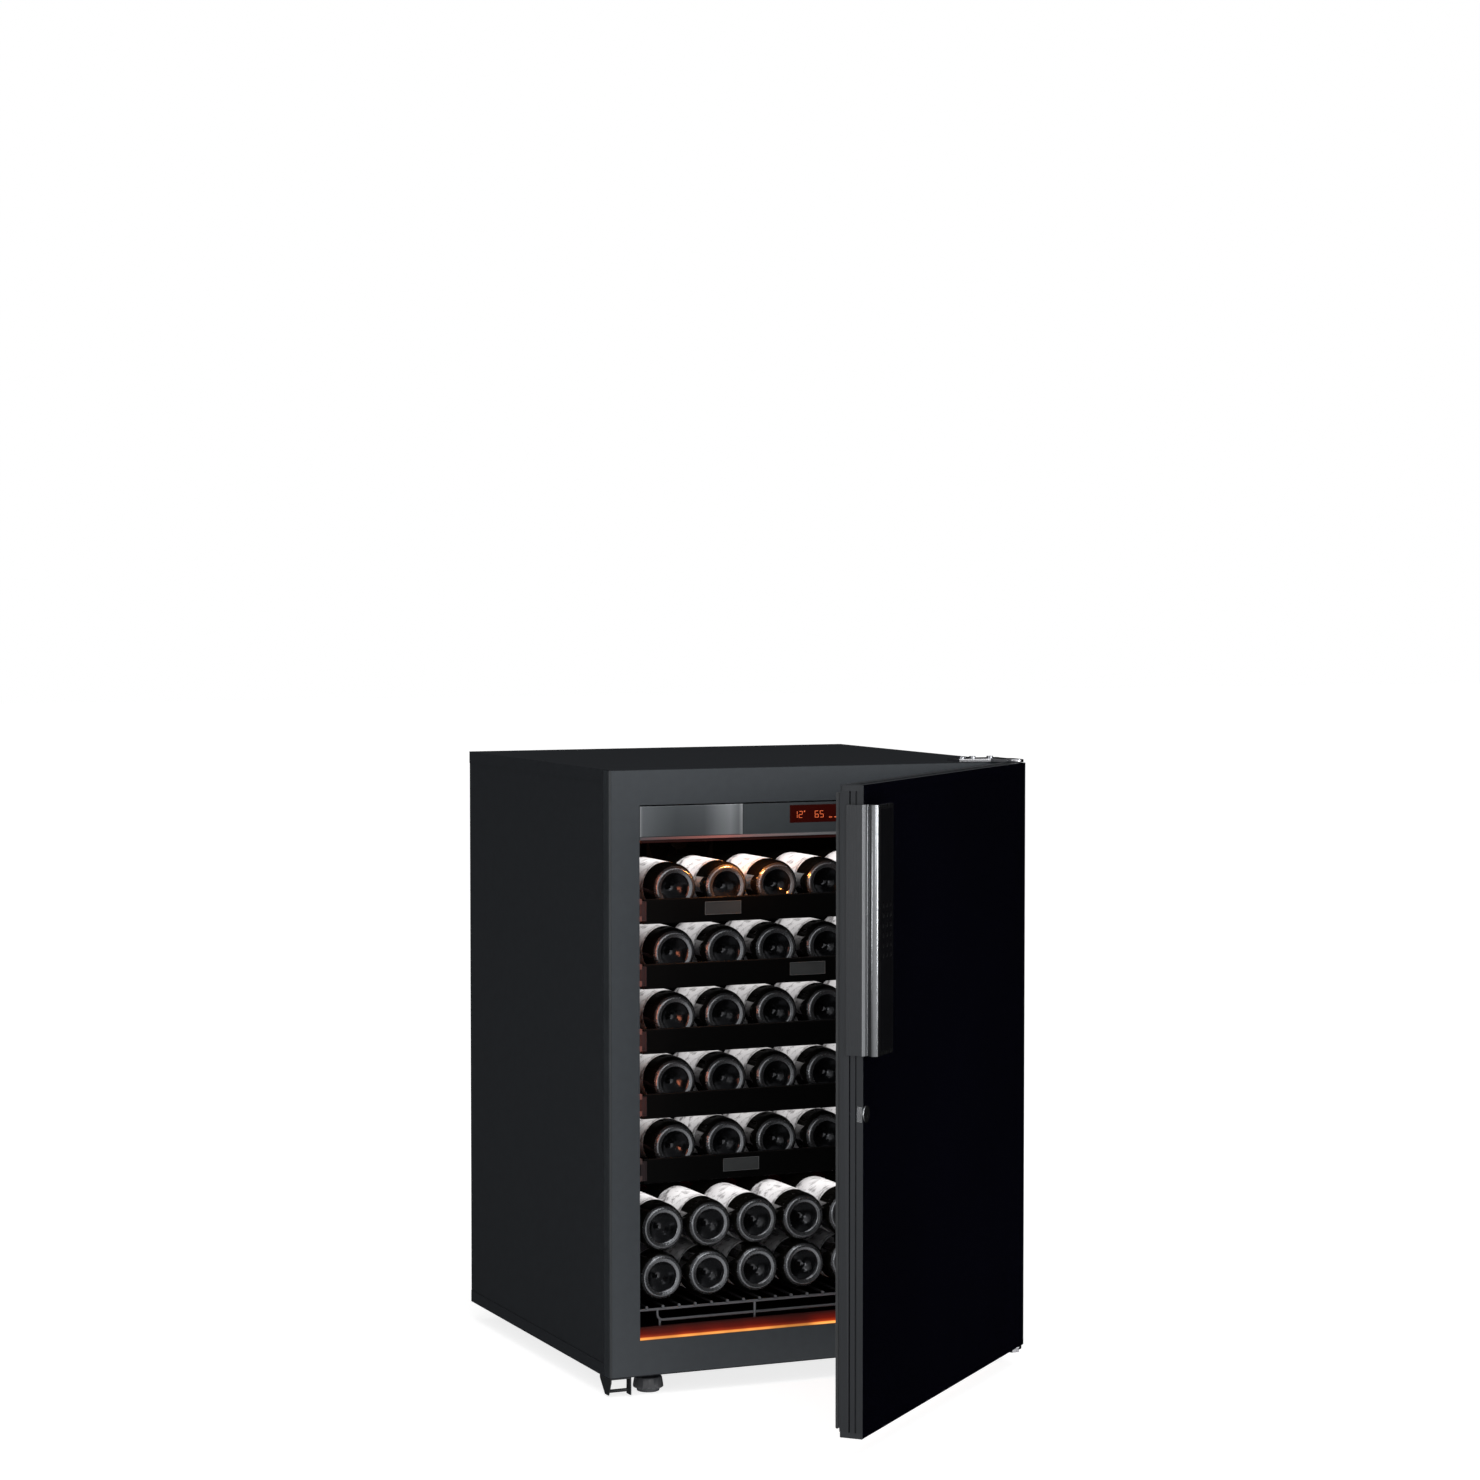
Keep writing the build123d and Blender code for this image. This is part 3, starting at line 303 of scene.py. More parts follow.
M = {
    "casing_paint": material(
        "casing_paint", srgb(35, 37, 40), 0.6, size=900, bump=0.12, mottle=0.05, spec=0.06
    ),
    "frame_paint": material("frame_paint", srgb(56, 60, 64), 0.5, size=900, bump=0.1, mottle=0.04, spec=0.3),
    "trim_black": material("trim_black", srgb(40, 43, 46), 0.32, size=300, bump=0.05, spec=0.5),
    "liner": material("liner", srgb(9, 8, 8), 0.5, size=300, bump=0.1, spec=0.2),
    "foam": material("foam", srgb(226, 214, 176), 0.9, size=240, bump=0.5, depth=0.001, spec=0.2),
    "panel_grey": material("panel_grey", srgb(62, 66, 69), 0.42, size=500, bump=0.08, mottle=0.04, spec=0.3),
    # The brushed plate carries a painted reflection along its length.
    "brushed_plate": plate_with_painted_reflection("brushed_plate"),
    "lip_strip": lip_with_painted_glow("lip_strip"),
    "display_red": material(
        "display_red", srgb(34, 6, 4), 0.18, size=400, bump=0.02, coat=0.3, glow=(srgb(70, 8, 3), 0.25)
    ),
    "board": material("board", srgb(20, 74, 40), 0.45, size=300),
    "button_grey": material("button_grey", srgb(92, 95, 96), 0.45, size=500, bump=0.1),
    "amber_light": glowing_bar("amber_light"),
    "runner_grey": material("runner_grey", srgb(92, 72, 70), 0.4, size=300, bump=0.1),
    "wire_black": material(
        "wire_black", srgb(118, 120, 124), 0.32, metal=0.5, size=300, bump=0.05, spec=0.6
    ),
    "evaporator_metal": material("evaporator_metal", srgb(186, 188, 190), 0.35, metal=1.0, size=200),
    "compressor_black": material("compressor_black", srgb(22, 22, 24), 0.35, size=300, bump=0.15),
    "black_plastic": material("black_plastic", srgb(26, 26, 27), 0.5, size=600, bump=0.2),
    # The feet's rims and knurl edges get a painted highlight from the lighter edge colour.
    "foot_plastic": material(
        "foot_plastic", srgb(66, 67, 70), 0.35, size=500, bump=0.2, edge_highlight=srgb(110, 112, 114)
    ),
    "bracket_steel": material("bracket_steel", srgb(44, 46, 48), 0.4, metal=0.4, size=200, bump=0.1),
    "hinge_chrome": material(
        "hinge_chrome", srgb(214, 214, 218), 0.16, metal=1.0, size=120, stretch=(1, 1, 3), bump=0.03,
        mottle=0.06,
    ),
    "screw_steel": material("screw_steel", srgb(176, 178, 182), 0.28, metal=1.0, size=400, bump=0.08),
    "door_black_glass": material(
        "door_black_glass", srgb(3, 3, 7), 0.06, size=3, bump=0.004, mottle=0.2, rough_vary=0.02, spec=0.35
    ),
    "door_frame_paint": material(
        "door_frame_paint", srgb(45, 47, 50), 0.42, metal=0.1, size=260, stretch=(1, 1, 0.04), bump=0.1,
        depth=0.00008, mottle=0.06, spec=0.3,
    ),
    "cap_grey": material("cap_grey", srgb(46, 48, 51), 0.46, size=600, bump=0.12, spec=0.3),
    "door_liner": material("door_liner", srgb(17, 17, 18), 0.4, size=300, bump=0.1),
    "gasket_rubber": material("gasket_rubber", srgb(50, 52, 54), 0.62, size=500, bump=0.15, sheen=0.1),
    "satin_aluminium": handle_metal("satin_aluminium", srgb(45, 47, 50)),
    "grip_black": material("grip_black", srgb(5, 5, 7), 0.4, size=700, bump=0.1, spec=0.2),
    "lock_metal": material("lock_metal", srgb(170, 172, 175), 0.25, metal=1.0, size=300, bump=0.06),
    "shelf_black": material("shelf_black", srgb(8, 8, 8), 0.6, size=500, bump=0.2, spec=0.15),
    "pad_rubber": material("pad_rubber", srgb(9, 9, 9), 0.8, size=500, bump=0.25, spec=0.15),
    "fascia_black": material("fascia_black", srgb(4, 4, 4), 0.5, size=400, bump=0.06, spec=0.1),
    "bottle_glass": material(
        "bottle_glass", srgb(12, 11, 9), 0.08, size=55, bump=0.16, depth=0.0009, rough_vary=0.04,
        coat=0.8, spec=0.7,
    ),
    # Base ring and punt: the bottle's own dark glass drawn as lighter grey metal, a painted sheen that
    # brightens their reflections; the ring's stipple bump is real texture.
    "bottle_heel": material(
        "bottle_heel", srgb(138, 140, 144), 0.24, metal=0.85, size=230, bump=0.5, depth=0.0008, rough_vary=0.1
    ),
    # The punt's grey metallic colour is a painted sheen on dark glass.
    "bottle_punt": material(
        "bottle_punt", srgb(62, 63, 66), 0.09, metal=0.9, size=90, bump=0.5, depth=0.001,
        rough_vary=0.06, coat=0.6,
    ),
    "clip_metal": material("clip_metal", srgb(52, 40, 42), 0.4, metal=0.3, size=200, bump=0.1),
    "wire_dark": material("wire_dark", srgb(20, 20, 21), 0.5, size=300, bump=0.05, spec=0.2),
    "bottle_paper": paper("bottle_paper"),
    "bottle_foil": material("bottle_foil", srgb(70, 14, 20), 0.4, metal=0.5, size=260, bump=0.2),
    "card_slate": material("card_slate", srgb(50, 52, 53), 0.8, size=160, bump=0.15, mottle=0.2),
    "card_edge": material("card_edge", srgb(84, 86, 87), 0.6, size=200, bump=0.1),
    "digit_amber": material("digit_amber", srgb(200, 96, 56), 0.4, size=300, glow=(srgb(232, 104, 60), 0.7)),
    "mark_grey": material("mark_grey", srgb(190, 192, 194), 0.6, size=300),
}


def paint(node, mat):
    slots = NODES[node].data.materials
    if len(slots) == 0:
        slots.append(mat)
    for i in range(len(NODES[node].material_slots)):
        NODES[node].material_slots[i].material = mat


for entry in RECORD["subparts"]:
    paint(entry["node"], M[entry["material_slot"]])


# ------------------------------------------------------------------ softened edges on the CAD's own pieces


def soften(node, width):
    """Welds the imported corners and rounds the hard edges, as modifiers on the CAD node."""
    obj = NODES[node]
    weld = obj.modifiers.new("weld", "WELD")
    weld.merge_threshold = 0.00001
    bevel = obj.modifiers.new("bevel", "BEVEL")
    bevel.width = width * MM
    bevel.segments = 2
    bevel.limit_method = "ANGLE"
    bevel.angle_limit = math.radians(35)
    bevel.harden_normals = True


for node, width in {
    "top_panel": 0.5, "front_frame": 0.35, "door_glass": 0.35, "door_stile_free": 0.25,
    "door_stile_hinge": 0.25, "door_cap_top": 0.4, "door_cap_bottom": 0.4, "control_panel": 0.4,
    "control_plate": 0.15,
    "hinge_bottom": 0.4, "corner_bracket": 0.3, "fan_housing": 0.4, "rear_feet": 0.4, "power_inlet": 0.4,
    "handle_insert": 0.25, "base_pan": 0.3, "service_cover": 0.2, "handle_profile": 0.5, "hinge_top": 0.6,
    "lock_plate": 0.3,
}.items():
    soften(node, width)


# ------------------------------------------------------------------ mesh tools


def add_mesh(name, verts, faces, mats, face_mats=None, smooth=True):
    mesh = bpy.data.meshes.new(name)
    mesh.from_pydata([tuple(v) for v in verts], [], faces)
    for mat in mats:
        mesh.materials.append(mat)
    for i, poly in enumerate(mesh.polygons):
        poly.use_smooth = smooth
        if face_mats is not None:
            poly.material_index = face_mats[i]
    mesh.validate()
    obj = bpy.data.objects.new(name, mesh)
    bpy.context.scene.collection.objects.link(obj)
    return obj


def sharp(obj, angle=35):
    """Smooth shading that keeps edges over an angle crisp."""
    faces_of = {}
    for poly in obj.data.polygons:
        for key in poly.edge_keys:
            faces_of.setdefault(key, []).append(poly.normal)
    limit = math.radians(angle)
    for edge in obj.data.edges:
        sides = faces_of.get(tuple(sorted(edge.vertices)), [])
        edge.use_edge_sharp = len(sides) != 2 or sides[0].angle(sides[1], 0) > limit
    return obj


def ring_faces(rows, count, closed_rows=False):
    """Quads between rows of count points each; each row closes on itself."""
    faces = []
    last = rows if closed_rows else rows - 1
    for i in range(last):
        j = (i + 1) % rows
        for k in range(count):
            m = (k + 1) % count
            faces.append((i * count + k, i * count + m, j * count + m, j * count + k))
    return faces


def lathe(name, profile, mats, place, count=48, wobble=None):
    """Turns (radius, height, material) points about +Z, closes both ends and places the result."""
    verts, face_mats = [], []
    for radius, height, _ in profile:
        for k in range(count):
            a = 2 * math.pi * k / count
            r = radius if wobble is None else wobble(radius, height, a)
            verts.append(Vector((r * math.cos(a), r * math.sin(a), height)) * MM)
    faces = ring_faces(len(profile), count)
    for i in range(len(profile) - 1):
        face_mats += [profile[i][2]] * count
    faces.append(tuple(reversed(range(count))))
    face_mats.append(profile[0][2])
    start = (len(profile) - 1) * count
    faces.append(tuple(range(start, start + count)))
    face_mats.append(profile[-1][2])
    return add_mesh(name, [place @ v for v in verts], faces, mats, face_mats)


def bars(name, boxes, mats, place=Matrix.Identity(4), bevel=0.2):
    """Closed bars from (low, high) corners in millimetres, with bevelled edges."""
    verts, faces = [], []
    for low, high in boxes:
        n = len(verts)
        for x in (low[0], high[0]):
            for y in (low[1], high[1]):
                for z in (low[2], high[2]):
                    verts.append(place @ (Vector((x, y, z)) * MM))
        for quad in ((0, 1, 3, 2), (4, 6, 7, 5), (0, 4, 5, 1), (2, 3, 7, 6), (0, 2, 6, 4), (1, 5, 7, 3)):
            faces.append(tuple(n + i for i in quad))
    obj = add_mesh(name, verts, faces, mats, smooth=False)
    mod = obj.modifiers.new("bevel", "BEVEL")
    mod.width = bevel * MM
    mod.segments = 2
    return obj


# ------------------------------------------------------------------ bottles

GLASS, LABEL, FOIL, HEEL, PUNT = 0, 1, 2, 3, 4
BOTTLE_PROFILE = [
    (0.5, 25, PUNT), (3.5, 24.6, PUNT), (6, 23.2, PUNT), (8, 20.8, PUNT), (10.5, 18.4, PUNT),
    (15, 14.2, PUNT), (19, 9, PUNT), (21.6, 4.8, PUNT),
    (23.4, 2.2, HEEL), (24.6, 1.4, HEEL), (25.6, 1.3, HEEL),
    (27, 0.4, HEEL), (28.6, 0, HEEL), (30.2, 0.5, HEEL), (31.4, 1.5, HEEL), (32.2, 2.8, HEEL),
    (33.4, 4.3, GLASS), (35.2, 7, GLASS), (36.6, 10.5, GLASS), (37.3, 15, GLASS), (37.5, 20, GLASS),
    (37.5, 60, GLASS), (37.5, 120, GLASS), (37.5, 186, GLASS),
    (37.2, 194, GLASS), (35.8, 203, GLASS), (32, 212, GLASS), (26, 220, GLASS), (20, 227, GLASS),
    (16.4, 234, GLASS), (14.9, 242, GLASS),
    (14.7, 246, FOIL), (14.5, 270, FOIL), (14.4, 287, FOIL), (15.6, 288.5, FOIL),
    (15.8, 293, FOIL), (15.2, 297, FOIL), (13.4, 299, FOIL), (0.5, 299.5, FOIL),
]
LABEL_FROM, LABEL_TO = 41.0, 138.0
LABEL_ARC = math.radians(285)


def heel_stipple(radius, height, angle):
    """Small pips round the bearing ring of the base."""
    if 25 < radius < 33 and height < 3.5:
        return radius + 0.5 * math.sin(40 * angle) * (0.6 + 0.4 * math.sin(3 * angle))
    return radius


def bottle_mesh():
    """One upright bottle with its label wrapped most of the way round, shared by every bottle."""
    glass = lathe(
        "bottle_shape", BOTTLE_PROFILE, [M["bottle_glass"]] * 5, Matrix.Identity(4), count=120,
        wobble=heel_stipple,
    )
    verts = [v.co.copy() for v in glass.data.vertices]
    faces = [tuple(p.vertices) for p in glass.data.polygons]
    face_mats = [p.material_index for p in glass.data.polygons]
    bpy.data.objects.remove(glass)
    steps = 60
    section = [(37.56, LABEL_FROM), (37.74, LABEL_FROM), (37.74, LABEL_TO), (37.56, LABEL_TO)]
    first = len(verts)
    for k in range(steps + 1):
        a = -math.pi / 2 - LABEL_ARC / 2 + LABEL_ARC * k / steps
        for r, h in section:
            verts.append(Vector((r * math.cos(a), r * math.sin(a), h)) * MM)
    for k in range(steps):
        for i in range(4):
            j = (i + 1) % 4
            here = first + 4 * k
            faces.append((here + i, here + j, here + 4 + j, here + 4 + i))
            face_mats.append(LABEL)
    faces.append(tuple(first + i for i in (3, 2, 1, 0)))
    faces.append(tuple(first + 4 * steps + i for i in (0, 1, 2, 3)))
    face_mats += [LABEL, LABEL]
    mats = [M["bottle_glass"], M["bottle_paper"], M["bottle_foil"], M["bottle_heel"], M["bottle_punt"]]
    obj = sharp(add_mesh("bottle_shape", verts, faces, mats, face_mats))
    mesh = obj.data
    bpy.data.objects.remove(obj)
    return mesh


BOTTLE = bottle_mesh()
BOTTLE_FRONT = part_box("front_frame")[0].y + 0.045
LIE_DOWN = Matrix.Rotation(-math.pi / 2, 4, "X")


def lay_bottle(name, x, z, body):
    obj = bpy.data.objects.new(name, BOTTLE)
    bpy.context.scene.collection.objects.link(obj)
    roll = Matrix.Rotation(random.uniform(-0.35, 0.35), 4, "Y")
    back = random.uniform(-0.001, 0.003)
    obj.matrix_world = Matrix.Translation((x, BOTTLE_FRONT + back, z)) @ roll @ LIE_DOWN
    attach(obj, body)


PITCH = 0.0853
for shelf in range(1, 6):
    tray_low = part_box(f"shelf_tray_{shelf}")[0].z
    for place in range(6):
        x = (place - 2.5) * PITCH
        lay_bottle(f"bottle_{shelf}_{place + 1}", x, tray_low + 0.052, f"shelf_{shelf}")

RACK_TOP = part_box("bottle_rack")[1].z
for place in range(7):
    lower_x = 0.005 + (place - 3) * 0.080
    upper_x = 0.003 + (place - 3) * 0.0785
    lower_z = RACK_TOP + 0.0379
    lift = math.sqrt(0.0754**2 - (upper_x - lower_x) ** 2)
    lay_bottle(f"bottle_low_{place + 1}", lower_x, lower_z, "cabinet")
    lay_bottle(f"bottle_high_{place + 1}", upper_x, lower_z + lift, "cabinet")

# ------------------------------------------------------------------ digits, button marks, cards and clips

SEGMENTS = {"1": "bc", "2": "abged", "5": "afgcd", "6": "afgecd"}


def digit_bars(digit, x, z, y, height=10.5, width=6.2, t=0.8):
    """Thin raised bars for one seven-segment digit, from its lower left corner."""
    half = height / 2
    spans = {
        "a": ((x + t, z + height - t), (x + width - t, z + height)),
        "g": ((x + t, z + half - t / 2), (x + width - t, z + half + t / 2)),
        "d": ((x + t, z), (x + width - t, z + t)),
        "b": ((x + width - t, z + half + 0.3), (x + width, z + height - 0.3)),
        "c": ((x + width - t, z + 0.3), (x + width, z + half - 0.3)),
        "f": ((x, z + half + 0.3), (x + t, z + height - 0.3)),
        "e": ((x, z + 0.3), (x + t, z + half - 0.3)),
    }
    lit = (spans[segment] for segment in SEGMENTS[digit])
    return [((lo[0], y - 0.25, lo[1]), (hi[0], y - 0.02, hi[1])) for lo, hi in lit]


lens_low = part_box("display_lens")[0] * 1000
glass_y = lens_low.y
digits = []
for digit, x in (("1", 6.5), ("2", 15.0), ("6", 42.0), ("5", 50.5)):
    digits += digit_bars(digit, lens_low.x + x, lens_low.z + 7.0, glass_y)
dot_x, dot_z = lens_low.x + 23.5, lens_low.z + 16
digits.append(((dot_x, glass_y - 0.25, dot_z), (dot_x + 2, glass_y - 0.02, dot_z + 2)))
for k in range(3):
    left = lens_low.x + 66 + 9 * k
    digits.append(((left, glass_y - 0.25, lens_low.z + 6.5), (left + 5, glass_y - 0.02, lens_low.z + 7.7)))
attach(bars("display_digits", digits, [M["digit_amber"]], bevel=0.08), "cabinet")

panel_low, panel_high = [v * 1000 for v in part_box("control_panel")]
strip = bars("panel_lip_strip", [(
    (panel_low.x + 0.5, panel_low.y - 0.35, panel_low.z + 0.5),
    (panel_high.x - 0.5, panel_low.y + 0.1, panel_low.z + 4.3),
)], [M["lip_strip"]], bevel=0.15)
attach(strip, "cabinet")

for body, node, shape in (("up_button", "button_up", "+"), ("down_button", "button_down", "-"),
                          ("light_button", "button_light", "*")):
    low, high = [v * 1000 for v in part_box(node)]
    cx, cz, y = (low.x + high.x) / 2, (low.z + high.z) / 2, low.y
    marks = []
    if shape in "+-":
        marks.append(((cx - 2.6, y - 0.08, cz - 0.45), (cx + 2.6, y + 0.02, cz + 0.45)))
    if shape == "+":
        marks.append(((cx - 0.45, y - 0.08, cz - 2.6), (cx + 0.45, y + 0.02, cz + 2.6)))
    if shape == "*":
        for k in range(-1, 2):
            ray_x, reach = cx + 2.4 * k, 2 - abs(k)
            marks.append(((ray_x - 0.45, y - 0.08, cz - reach), (ray_x + 0.45, y + 0.02, cz + reach)))
    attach(bars(f"mark_{node}", marks, [M["mark_grey"]], bevel=0.03), body)

for shelf in (1, 2, 5):
    mesh = NODES[f"shelf_front_{shelf}"].data
    front = min(v.co.y for v in mesh.vertices)
    face = [v.co * 1000 for v in mesh.vertices if v.co.y < front + 0.0002]
    low = Vector([min(p[i] for p in face) for i in range(3)])
    high = Vector([max(p[i] for p in face) for i in range(3)])
    y = front * 1000
    slate = ((low.x + 1.2, y - 0.35, low.z + 1.2), (high.x - 1.2, y + 0.1, high.z - 1.2))
    card = bars(f"card_{shelf}", [slate], [M["card_slate"]], bevel=0.1)
    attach(card, f"shelf_{shelf}")
    rim = 0.9
    edge = bars(f"card_rim_{shelf}", [
        ((low.x, y - 0.5, low.z), (high.x, y + 0.1, low.z + rim)),
        ((low.x, y - 0.5, high.z - rim), (high.x, y + 0.1, high.z)),
        ((low.x, y - 0.5, low.z + rim), (low.x + rim, y + 0.1, high.z - rim)),
        ((high.x - rim, y - 0.5, low.z + rim), (high.x, y + 0.1, high.z - rim)),
    ], [M["card_edge"]], bevel=0.15)
    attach(edge, f"shelf_{shelf}")

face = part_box("shelf_front_3")[0].y * 1000      # this shelf has no card standing proud of its front
for shelf in range(1, 6):
    runner_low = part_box(f"shelf_front_{shelf}")[0].z * 1000 + 5
    boxes = []
    for side in (-1, 1):
        inner_x, outer_x = side * 268.3, side * 277.5
        left, right = min(inner_x, outer_x), max(inner_x, outer_x)
        boxes.append(((left, face - 0.9, runner_low), (right, face + 1.6, runner_low + 30)))
        boxes.append(((inner_x - 0.8, face - 2.2, runner_low), (inner_x + 0.8, face - 0.8, runner_low + 30)))
        boxes.append(((left, face - 2.0, runner_low), (right, face - 0.8, runner_low + 1.4)))
    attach(bars(f"shelf_clips_{shelf}", boxes, [M["clip_metal"]], bevel=0.25), f"shelf_{shelf}")

# ------------------------------------------------------------------ wire rack with bent ends


def wire(name, paths, radius, mat):
    """Round wires through rounded corners, as one curve object."""
    curve = bpy.data.curves.new(name, "CURVE")
    curve.dimensions = "3D"
    curve.bevel_depth = radius
    curve.bevel_resolution = 3
    curve.use_fill_caps = True
    for points in paths:
        spline = curve.splines.new("POLY")
        spline.points.add(len(points) - 1)
        for item, p in zip(spline.points, points):
            item.co = (*p, 1)
    curve.materials.append(mat)
    obj = bpy.data.objects.new(name, curve)
    bpy.context.scene.collection.objects.link(obj)
    return obj


def rounded(points, radius, steps=6):
    """The same run of points with its corners rounded."""
    out = [Vector(points[0])]
    for a, b, c in zip(points, points[1:], points[2:]):
        a, b, c = Vector(a), Vector(b), Vector(c)
        p, q = b + (a - b).normalized() * radius, b + (c - b).normalized() * radius
        for k in range(steps + 1):
            t = k / steps
            out.append(p * (1 - t) ** 2 + b * 2 * t * (1 - t) + q * t**2)
    out.append(Vector(points[-1]))
    return out


WIRE = 0.0021
rack_low, rack_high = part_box("bottle_rack")
rail_z = rack_high.z - 0.007
loop_z = rail_z - 0.017
half = rack_high.x
rail_ys = (rack_low.y + 0.003, (rack_low.y + rack_high.y) / 2, rack_high.y - 0.003)
paths = []
for y in rail_ys:
    paths.append(rounded([(-half, y, rail_z), (half, y, rail_z)], 0.001))
for y in (rail_ys[0], rail_ys[2]):
    foot = rack_low.z + 0.0001
    loop = [(-0.250, y, rail_z), (-0.250, y, loop_z), (0.250, y, loop_z), (0.250, y, rail_z)]
    paths.append(rounded(loop, 0.011))
    for x, top in ((-0.246, loop_z), (-0.088, rail_z), (0.088, rail_z), (0.246, loop_z)):
        paths.append([Vector((x, y, top)), Vector((x, y, foot))])
for x in (-half + WIRE, half - WIRE):
    paths.append([Vector((x, rail_ys[0], rail_z)), Vector((x, rail_ys[2], rail_z))])
long_paths = []
for k in range(21):
    x = (k - 10) * 0.0805 / 3
    top = rail_z + 0.0042
    paths.append([Vector((x, rack_low.y, top)), Vector((x, rack_low.y + 0.003, top))])
    long_paths.append([Vector((x, rack_low.y + 0.003, top)), Vector((x, rack_high.y, top))])
rack = wire("wire_rack", paths, WIRE, M["wire_black"])
long_wires = wire("wire_rack_bars", long_paths, WIRE, M["wire_dark"])
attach(long_wires, "cabinet")
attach(rack, "cabinet")
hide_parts("bottle_rack")

# ------------------------------------------------------------------ door seal


def seal_loop(name, outline, low, high, section, mats, place):
    """Sweeps a section (inwards, outwards from the door) round a rectangle with mitred corners."""
    corners = [(low.x, low.z, 1, 1), (high.x, low.z, -1, 1), (high.x, high.z, -1, -1), (low.x, high.z, 1, -1)]
    verts = []
    for x, z, sx, sz in corners:
        for inwards, out in section:
            verts.append(place @ Vector((x + sx * inwards * MM, outline + out * MM, z + sz * inwards * MM)))
    faces = ring_faces(4, len(section), closed_rows=True)
    return sharp(add_mesh(name, verts, faces, mats), 50)


seal_low, seal_high = door_box("door_gasket")
SEAL_SECTION = [
    (0.2, 0.1), (0.2, 1.4), (1.6, 2.2), (1.9, 3.2), (1.0, 4.0), (0.7, 5.2), (0.9, 7.0), (1.9, 8.2),
    (3.4, 8.6), (12.0, 8.6), (13.6, 8.2), (14.6, 7.0), (14.7, 5.6), (13.9, 4.6), (15.6, 3.8), (17.4, 3.9),
    (19.2, 3.0),
    (19.8, 1.6), (19.8, 0.1),
]
seal = seal_loop("door_seal", seal_low.y, seal_low, seal_high, SEAL_SECTION, [M["gasket_rubber"]], DOOR)
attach(seal, "door")
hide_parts("door_gasket")

# ------------------------------------------------------------------ levelling feet with knurled rims


def knurl(radius, height, angle):
    """Grooves round the foot's rim, and a hexagon where the nut is."""
    if radius > 20.2 and 6.5 < height < 22:
        return radius - 0.6 * (0.5 + 0.5 * math.cos(18 * angle)) ** 3
    if radius < 8 and 22.9 < height < 30:
        return radius / max(abs(math.cos((angle % (math.pi / 3)) - math.pi / 6)), 0.5) * 0.866
    return radius


FOOT = 0
FOOT_PROFILE = [(radius, height, FOOT) for radius, height in (
    (0.5, 0.05), (15.8, 0.05), (17.0, 0.6), (17.6, 2.2), (18.0, 4.6), (19.6, 5.4), (22.6, 6.3), (23.4, 7.2),
    (23.3, 9.5), (22.6, 14), (21.3, 21.2), (20.2, 22.4), (18.4, 22.9), (12, 23), (7.2, 23), (7.2, 23.2),
    (7.2, 29.2), (6.6, 29.6), (4.0, 29.6), (3.9, 31), (3.9, 51), (3.2, 51.9), (0.5, 51.95),
)]
for side in ("left", "right"):
    node = f"foot_front_{side}"
    low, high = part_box(node)
    place = Matrix.Translation(((low.x + high.x) / 2, (low.y + high.y) / 2, low.z))
    shape = lathe(
        f"levelling_foot_{side}", FOOT_PROFILE, [M["foot_plastic"]], place, count=108, wobble=knurl
    )
    foot = sharp(shape, 40)
    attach(foot, f"foot_{side}")
    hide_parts(node)

# ------------------------------------------------------------------ studio

TARGET = Vector((0.05, -0.2, 0.48))


def area_light(name, place, size, watts, colour=(1, 1, 1), look=TARGET):
    data = bpy.data.lights.new(name, "AREA")
    data.shape = "RECTANGLE"
    data.size, data.size_y = size
    data.energy = watts
    data.color = colour
    obj = bpy.data.objects.new(name, data)
    obj.location = place
    obj.rotation_euler = (look - Vector(place)).to_track_quat("-Z", "Y").to_euler()
    bpy.context.scene.collection.objects.link(obj)
    return obj


area_light("key_front", (0.9, -6.5, 2.4), (1.6, 2.2), 60)
area_light("overhead", (-0.4, -1.4, 4.2), (3.0, 3.0), 45)
area_light("left_strip", (-3.9, -2.9, 1.0), (0.5, 1.9), 15)
area_light("right_strip", (2.4, -3.3, 0.9), (0.45, 1.9), 40)

# Lamps inside the cabinet. The real cooler has no such fixtures: they carry light to the labels.
AMBER, ROSE, WHITE = (1.0, 0.3, 0.06), (1.0, 0.3, 0.16), (1.0, 0.97, 0.94)
LAMP_Y = -0.19
inner = []
for shelf in range(1, 6):
    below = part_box(f"shelf_tray_{shelf}")[0].z - 0.0015
    size, watts = ((0.53, 0.09), 0.17) if shelf < 5 else ((0.53, 0.10), 0.34)
    lamp_at, floor_at = (0, LAMP_Y, below), Vector((0, LAMP_Y, 0))
    inner.append(area_light(f"label_light_{shelf}", lamp_at, size, watts, WHITE, floor_at))
panel_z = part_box("control_panel")[0].z
lamp_at, floor_at = (0, LAMP_Y, panel_z), Vector((0, LAMP_Y, 0))
inner.append(area_light("label_light_top", lamp_at, (0.53, 0.09), 0.45, WHITE, floor_at))
amber_at, row_at = (-0.112, -0.297, panel_z - 0.006), Vector((-0.1, -0.27, 0.7))
area_light("amber_top", amber_at, (0.03, 0.008), 0.28, AMBER, row_at)
middle_at = Vector((0, -0.27, 0.62))
area_light("amber_left", (-0.2875, -0.295, 0.62), (0.008, 0.46), 0.09, ROSE, middle_at)
for lamp in inner:
    lamp.visible_glossy = False
    lamp.visible_camera = False

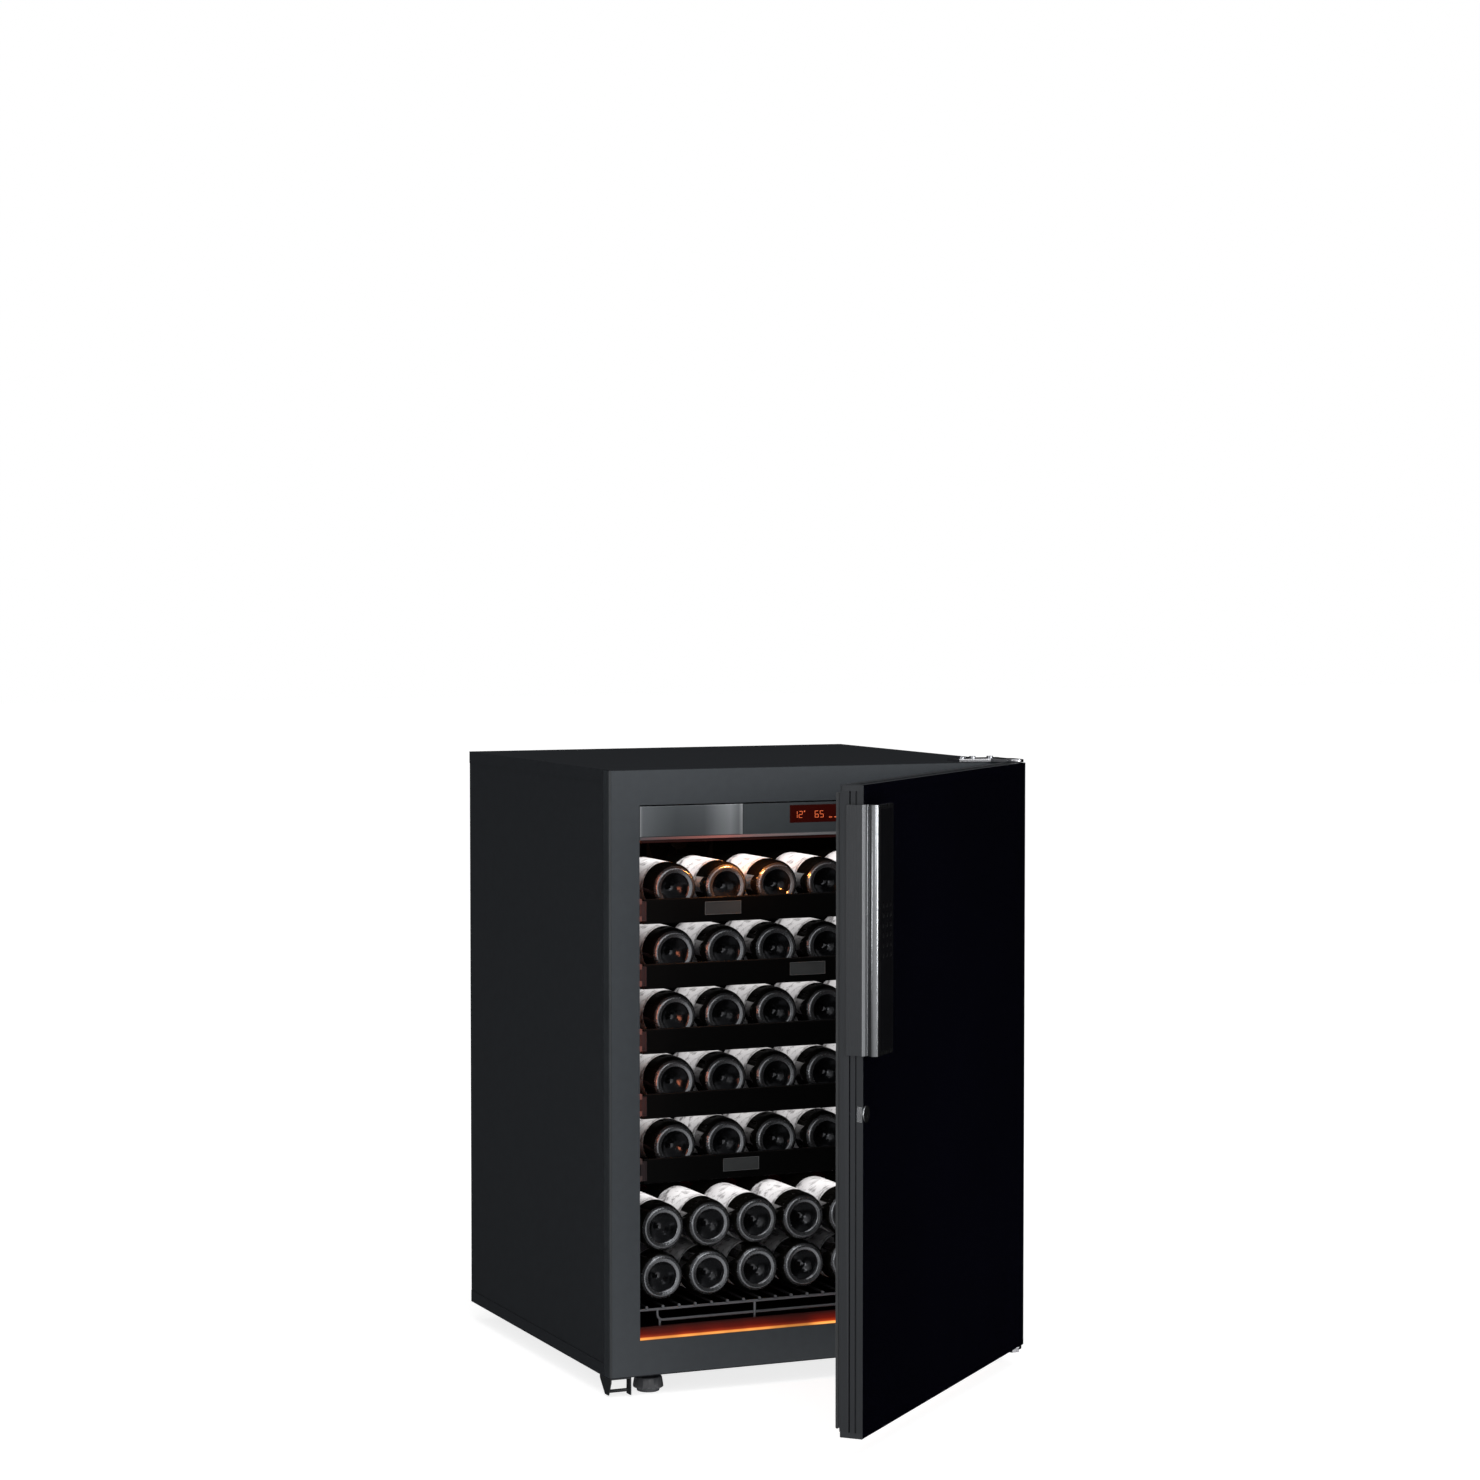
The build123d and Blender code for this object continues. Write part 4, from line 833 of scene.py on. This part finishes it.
# The background is plain white to the camera, and soft bands of light to everything else.
world = bpy.data.worlds.new("studio")
bpy.context.scene.world = world
world.use_nodes = True
tree = world.node_tree
new, link = tree.nodes.new, tree.links.new
for item in list(tree.nodes):
    tree.nodes.remove(item)
out = new("ShaderNodeOutputWorld")
seen = new("ShaderNodeBackground")
seen.inputs["Color"].default_value = (1, 1, 1, 1)
seen.inputs["Strength"].default_value = 1.0
lit = new("ShaderNodeBackground")
pick = new("ShaderNodeMixShader")
path = new("ShaderNodeLightPath")
link(path.outputs["Is Camera Ray"], pick.inputs["Fac"])
link(lit.outputs["Background"], pick.inputs[1])
link(seen.outputs["Background"], pick.inputs[2])
link(pick.outputs["Shader"], out.inputs["Surface"])
coords = new("ShaderNodeTexCoord")


def band(direction, start, end, low, high):
    """Brightness that changes with the angle from a direction."""
    dot = new("ShaderNodeVectorMath")
    dot.operation = "DOT_PRODUCT"
    dot.inputs[1].default_value = Vector(direction).normalized()
    link(coords.outputs["Generated"], dot.inputs[0])
    ramp = new("ShaderNodeMapRange")
    ramp.interpolation_type = "SMOOTHSTEP"
    ramp.inputs["From Min"].default_value = start
    ramp.inputs["From Max"].default_value = end
    ramp.inputs["To Min"].default_value = low
    ramp.inputs["To Max"].default_value = high
    link(dot.outputs["Value"], ramp.inputs["Value"])
    return ramp.outputs["Result"]


def combine(a, b, operation):
    node = new("ShaderNodeMath")
    node.operation = operation
    link(a, node.inputs[0])
    link(b, node.inputs[1])
    return node.outputs["Value"]


sky = combine(band((0, 0, 1), 0.1, 0.9, 0.0, 0.5), band((0.1, -1, 0.2), 0.0, 0.9, 0.05, 0.85), "ADD")
sky = combine(sky, band((0.93, 0.37, 0), 0.45, 0.9, 1.0, 0.02), "MULTIPLY")
sky = combine(sky, band((-0.1, 1, 0), 0.3, 0.85, 1.0, 0.35), "MULTIPLY")
link(sky, lit.inputs["Strength"])

floor_mat = material(
    "floor_pale", (0.55, 0.55, 0.55, 1), 0.9, mottle=0.01, size=6, bump=0.02, spec=0.0,
    glow=((1, 1, 1, 1), 0.8),
)
FLOOR_Z = -0.0004
corners = [(-30, -30, FLOOR_Z), (30, -30, FLOOR_Z), (30, 30, FLOOR_Z), (-30, 30, FLOOR_Z)]
floor = add_mesh("floor", corners, [(0, 1, 2, 3)], [floor_mat], smooth=False)
floor.visible_glossy = False

bpy.context.scene.view_settings.view_transform = "Standard"
bpy.context.scene.view_settings.look = "None"

# ------------------------------------------------------------------ camera

camera = bpy.data.objects.new("camera", bpy.data.cameras.new("camera"))
camera.data.sensor_width = 36.0
camera.data.lens = 86.11
camera.location = (-2.2657, -5.2471, 1.2335)
camera.rotation_euler = (math.radians(90 - 2.58), 0, math.radians(-23.47))
camera.data.clip_end = 100
bpy.context.scene.collection.objects.link(camera)
bpy.context.scene.camera = camera
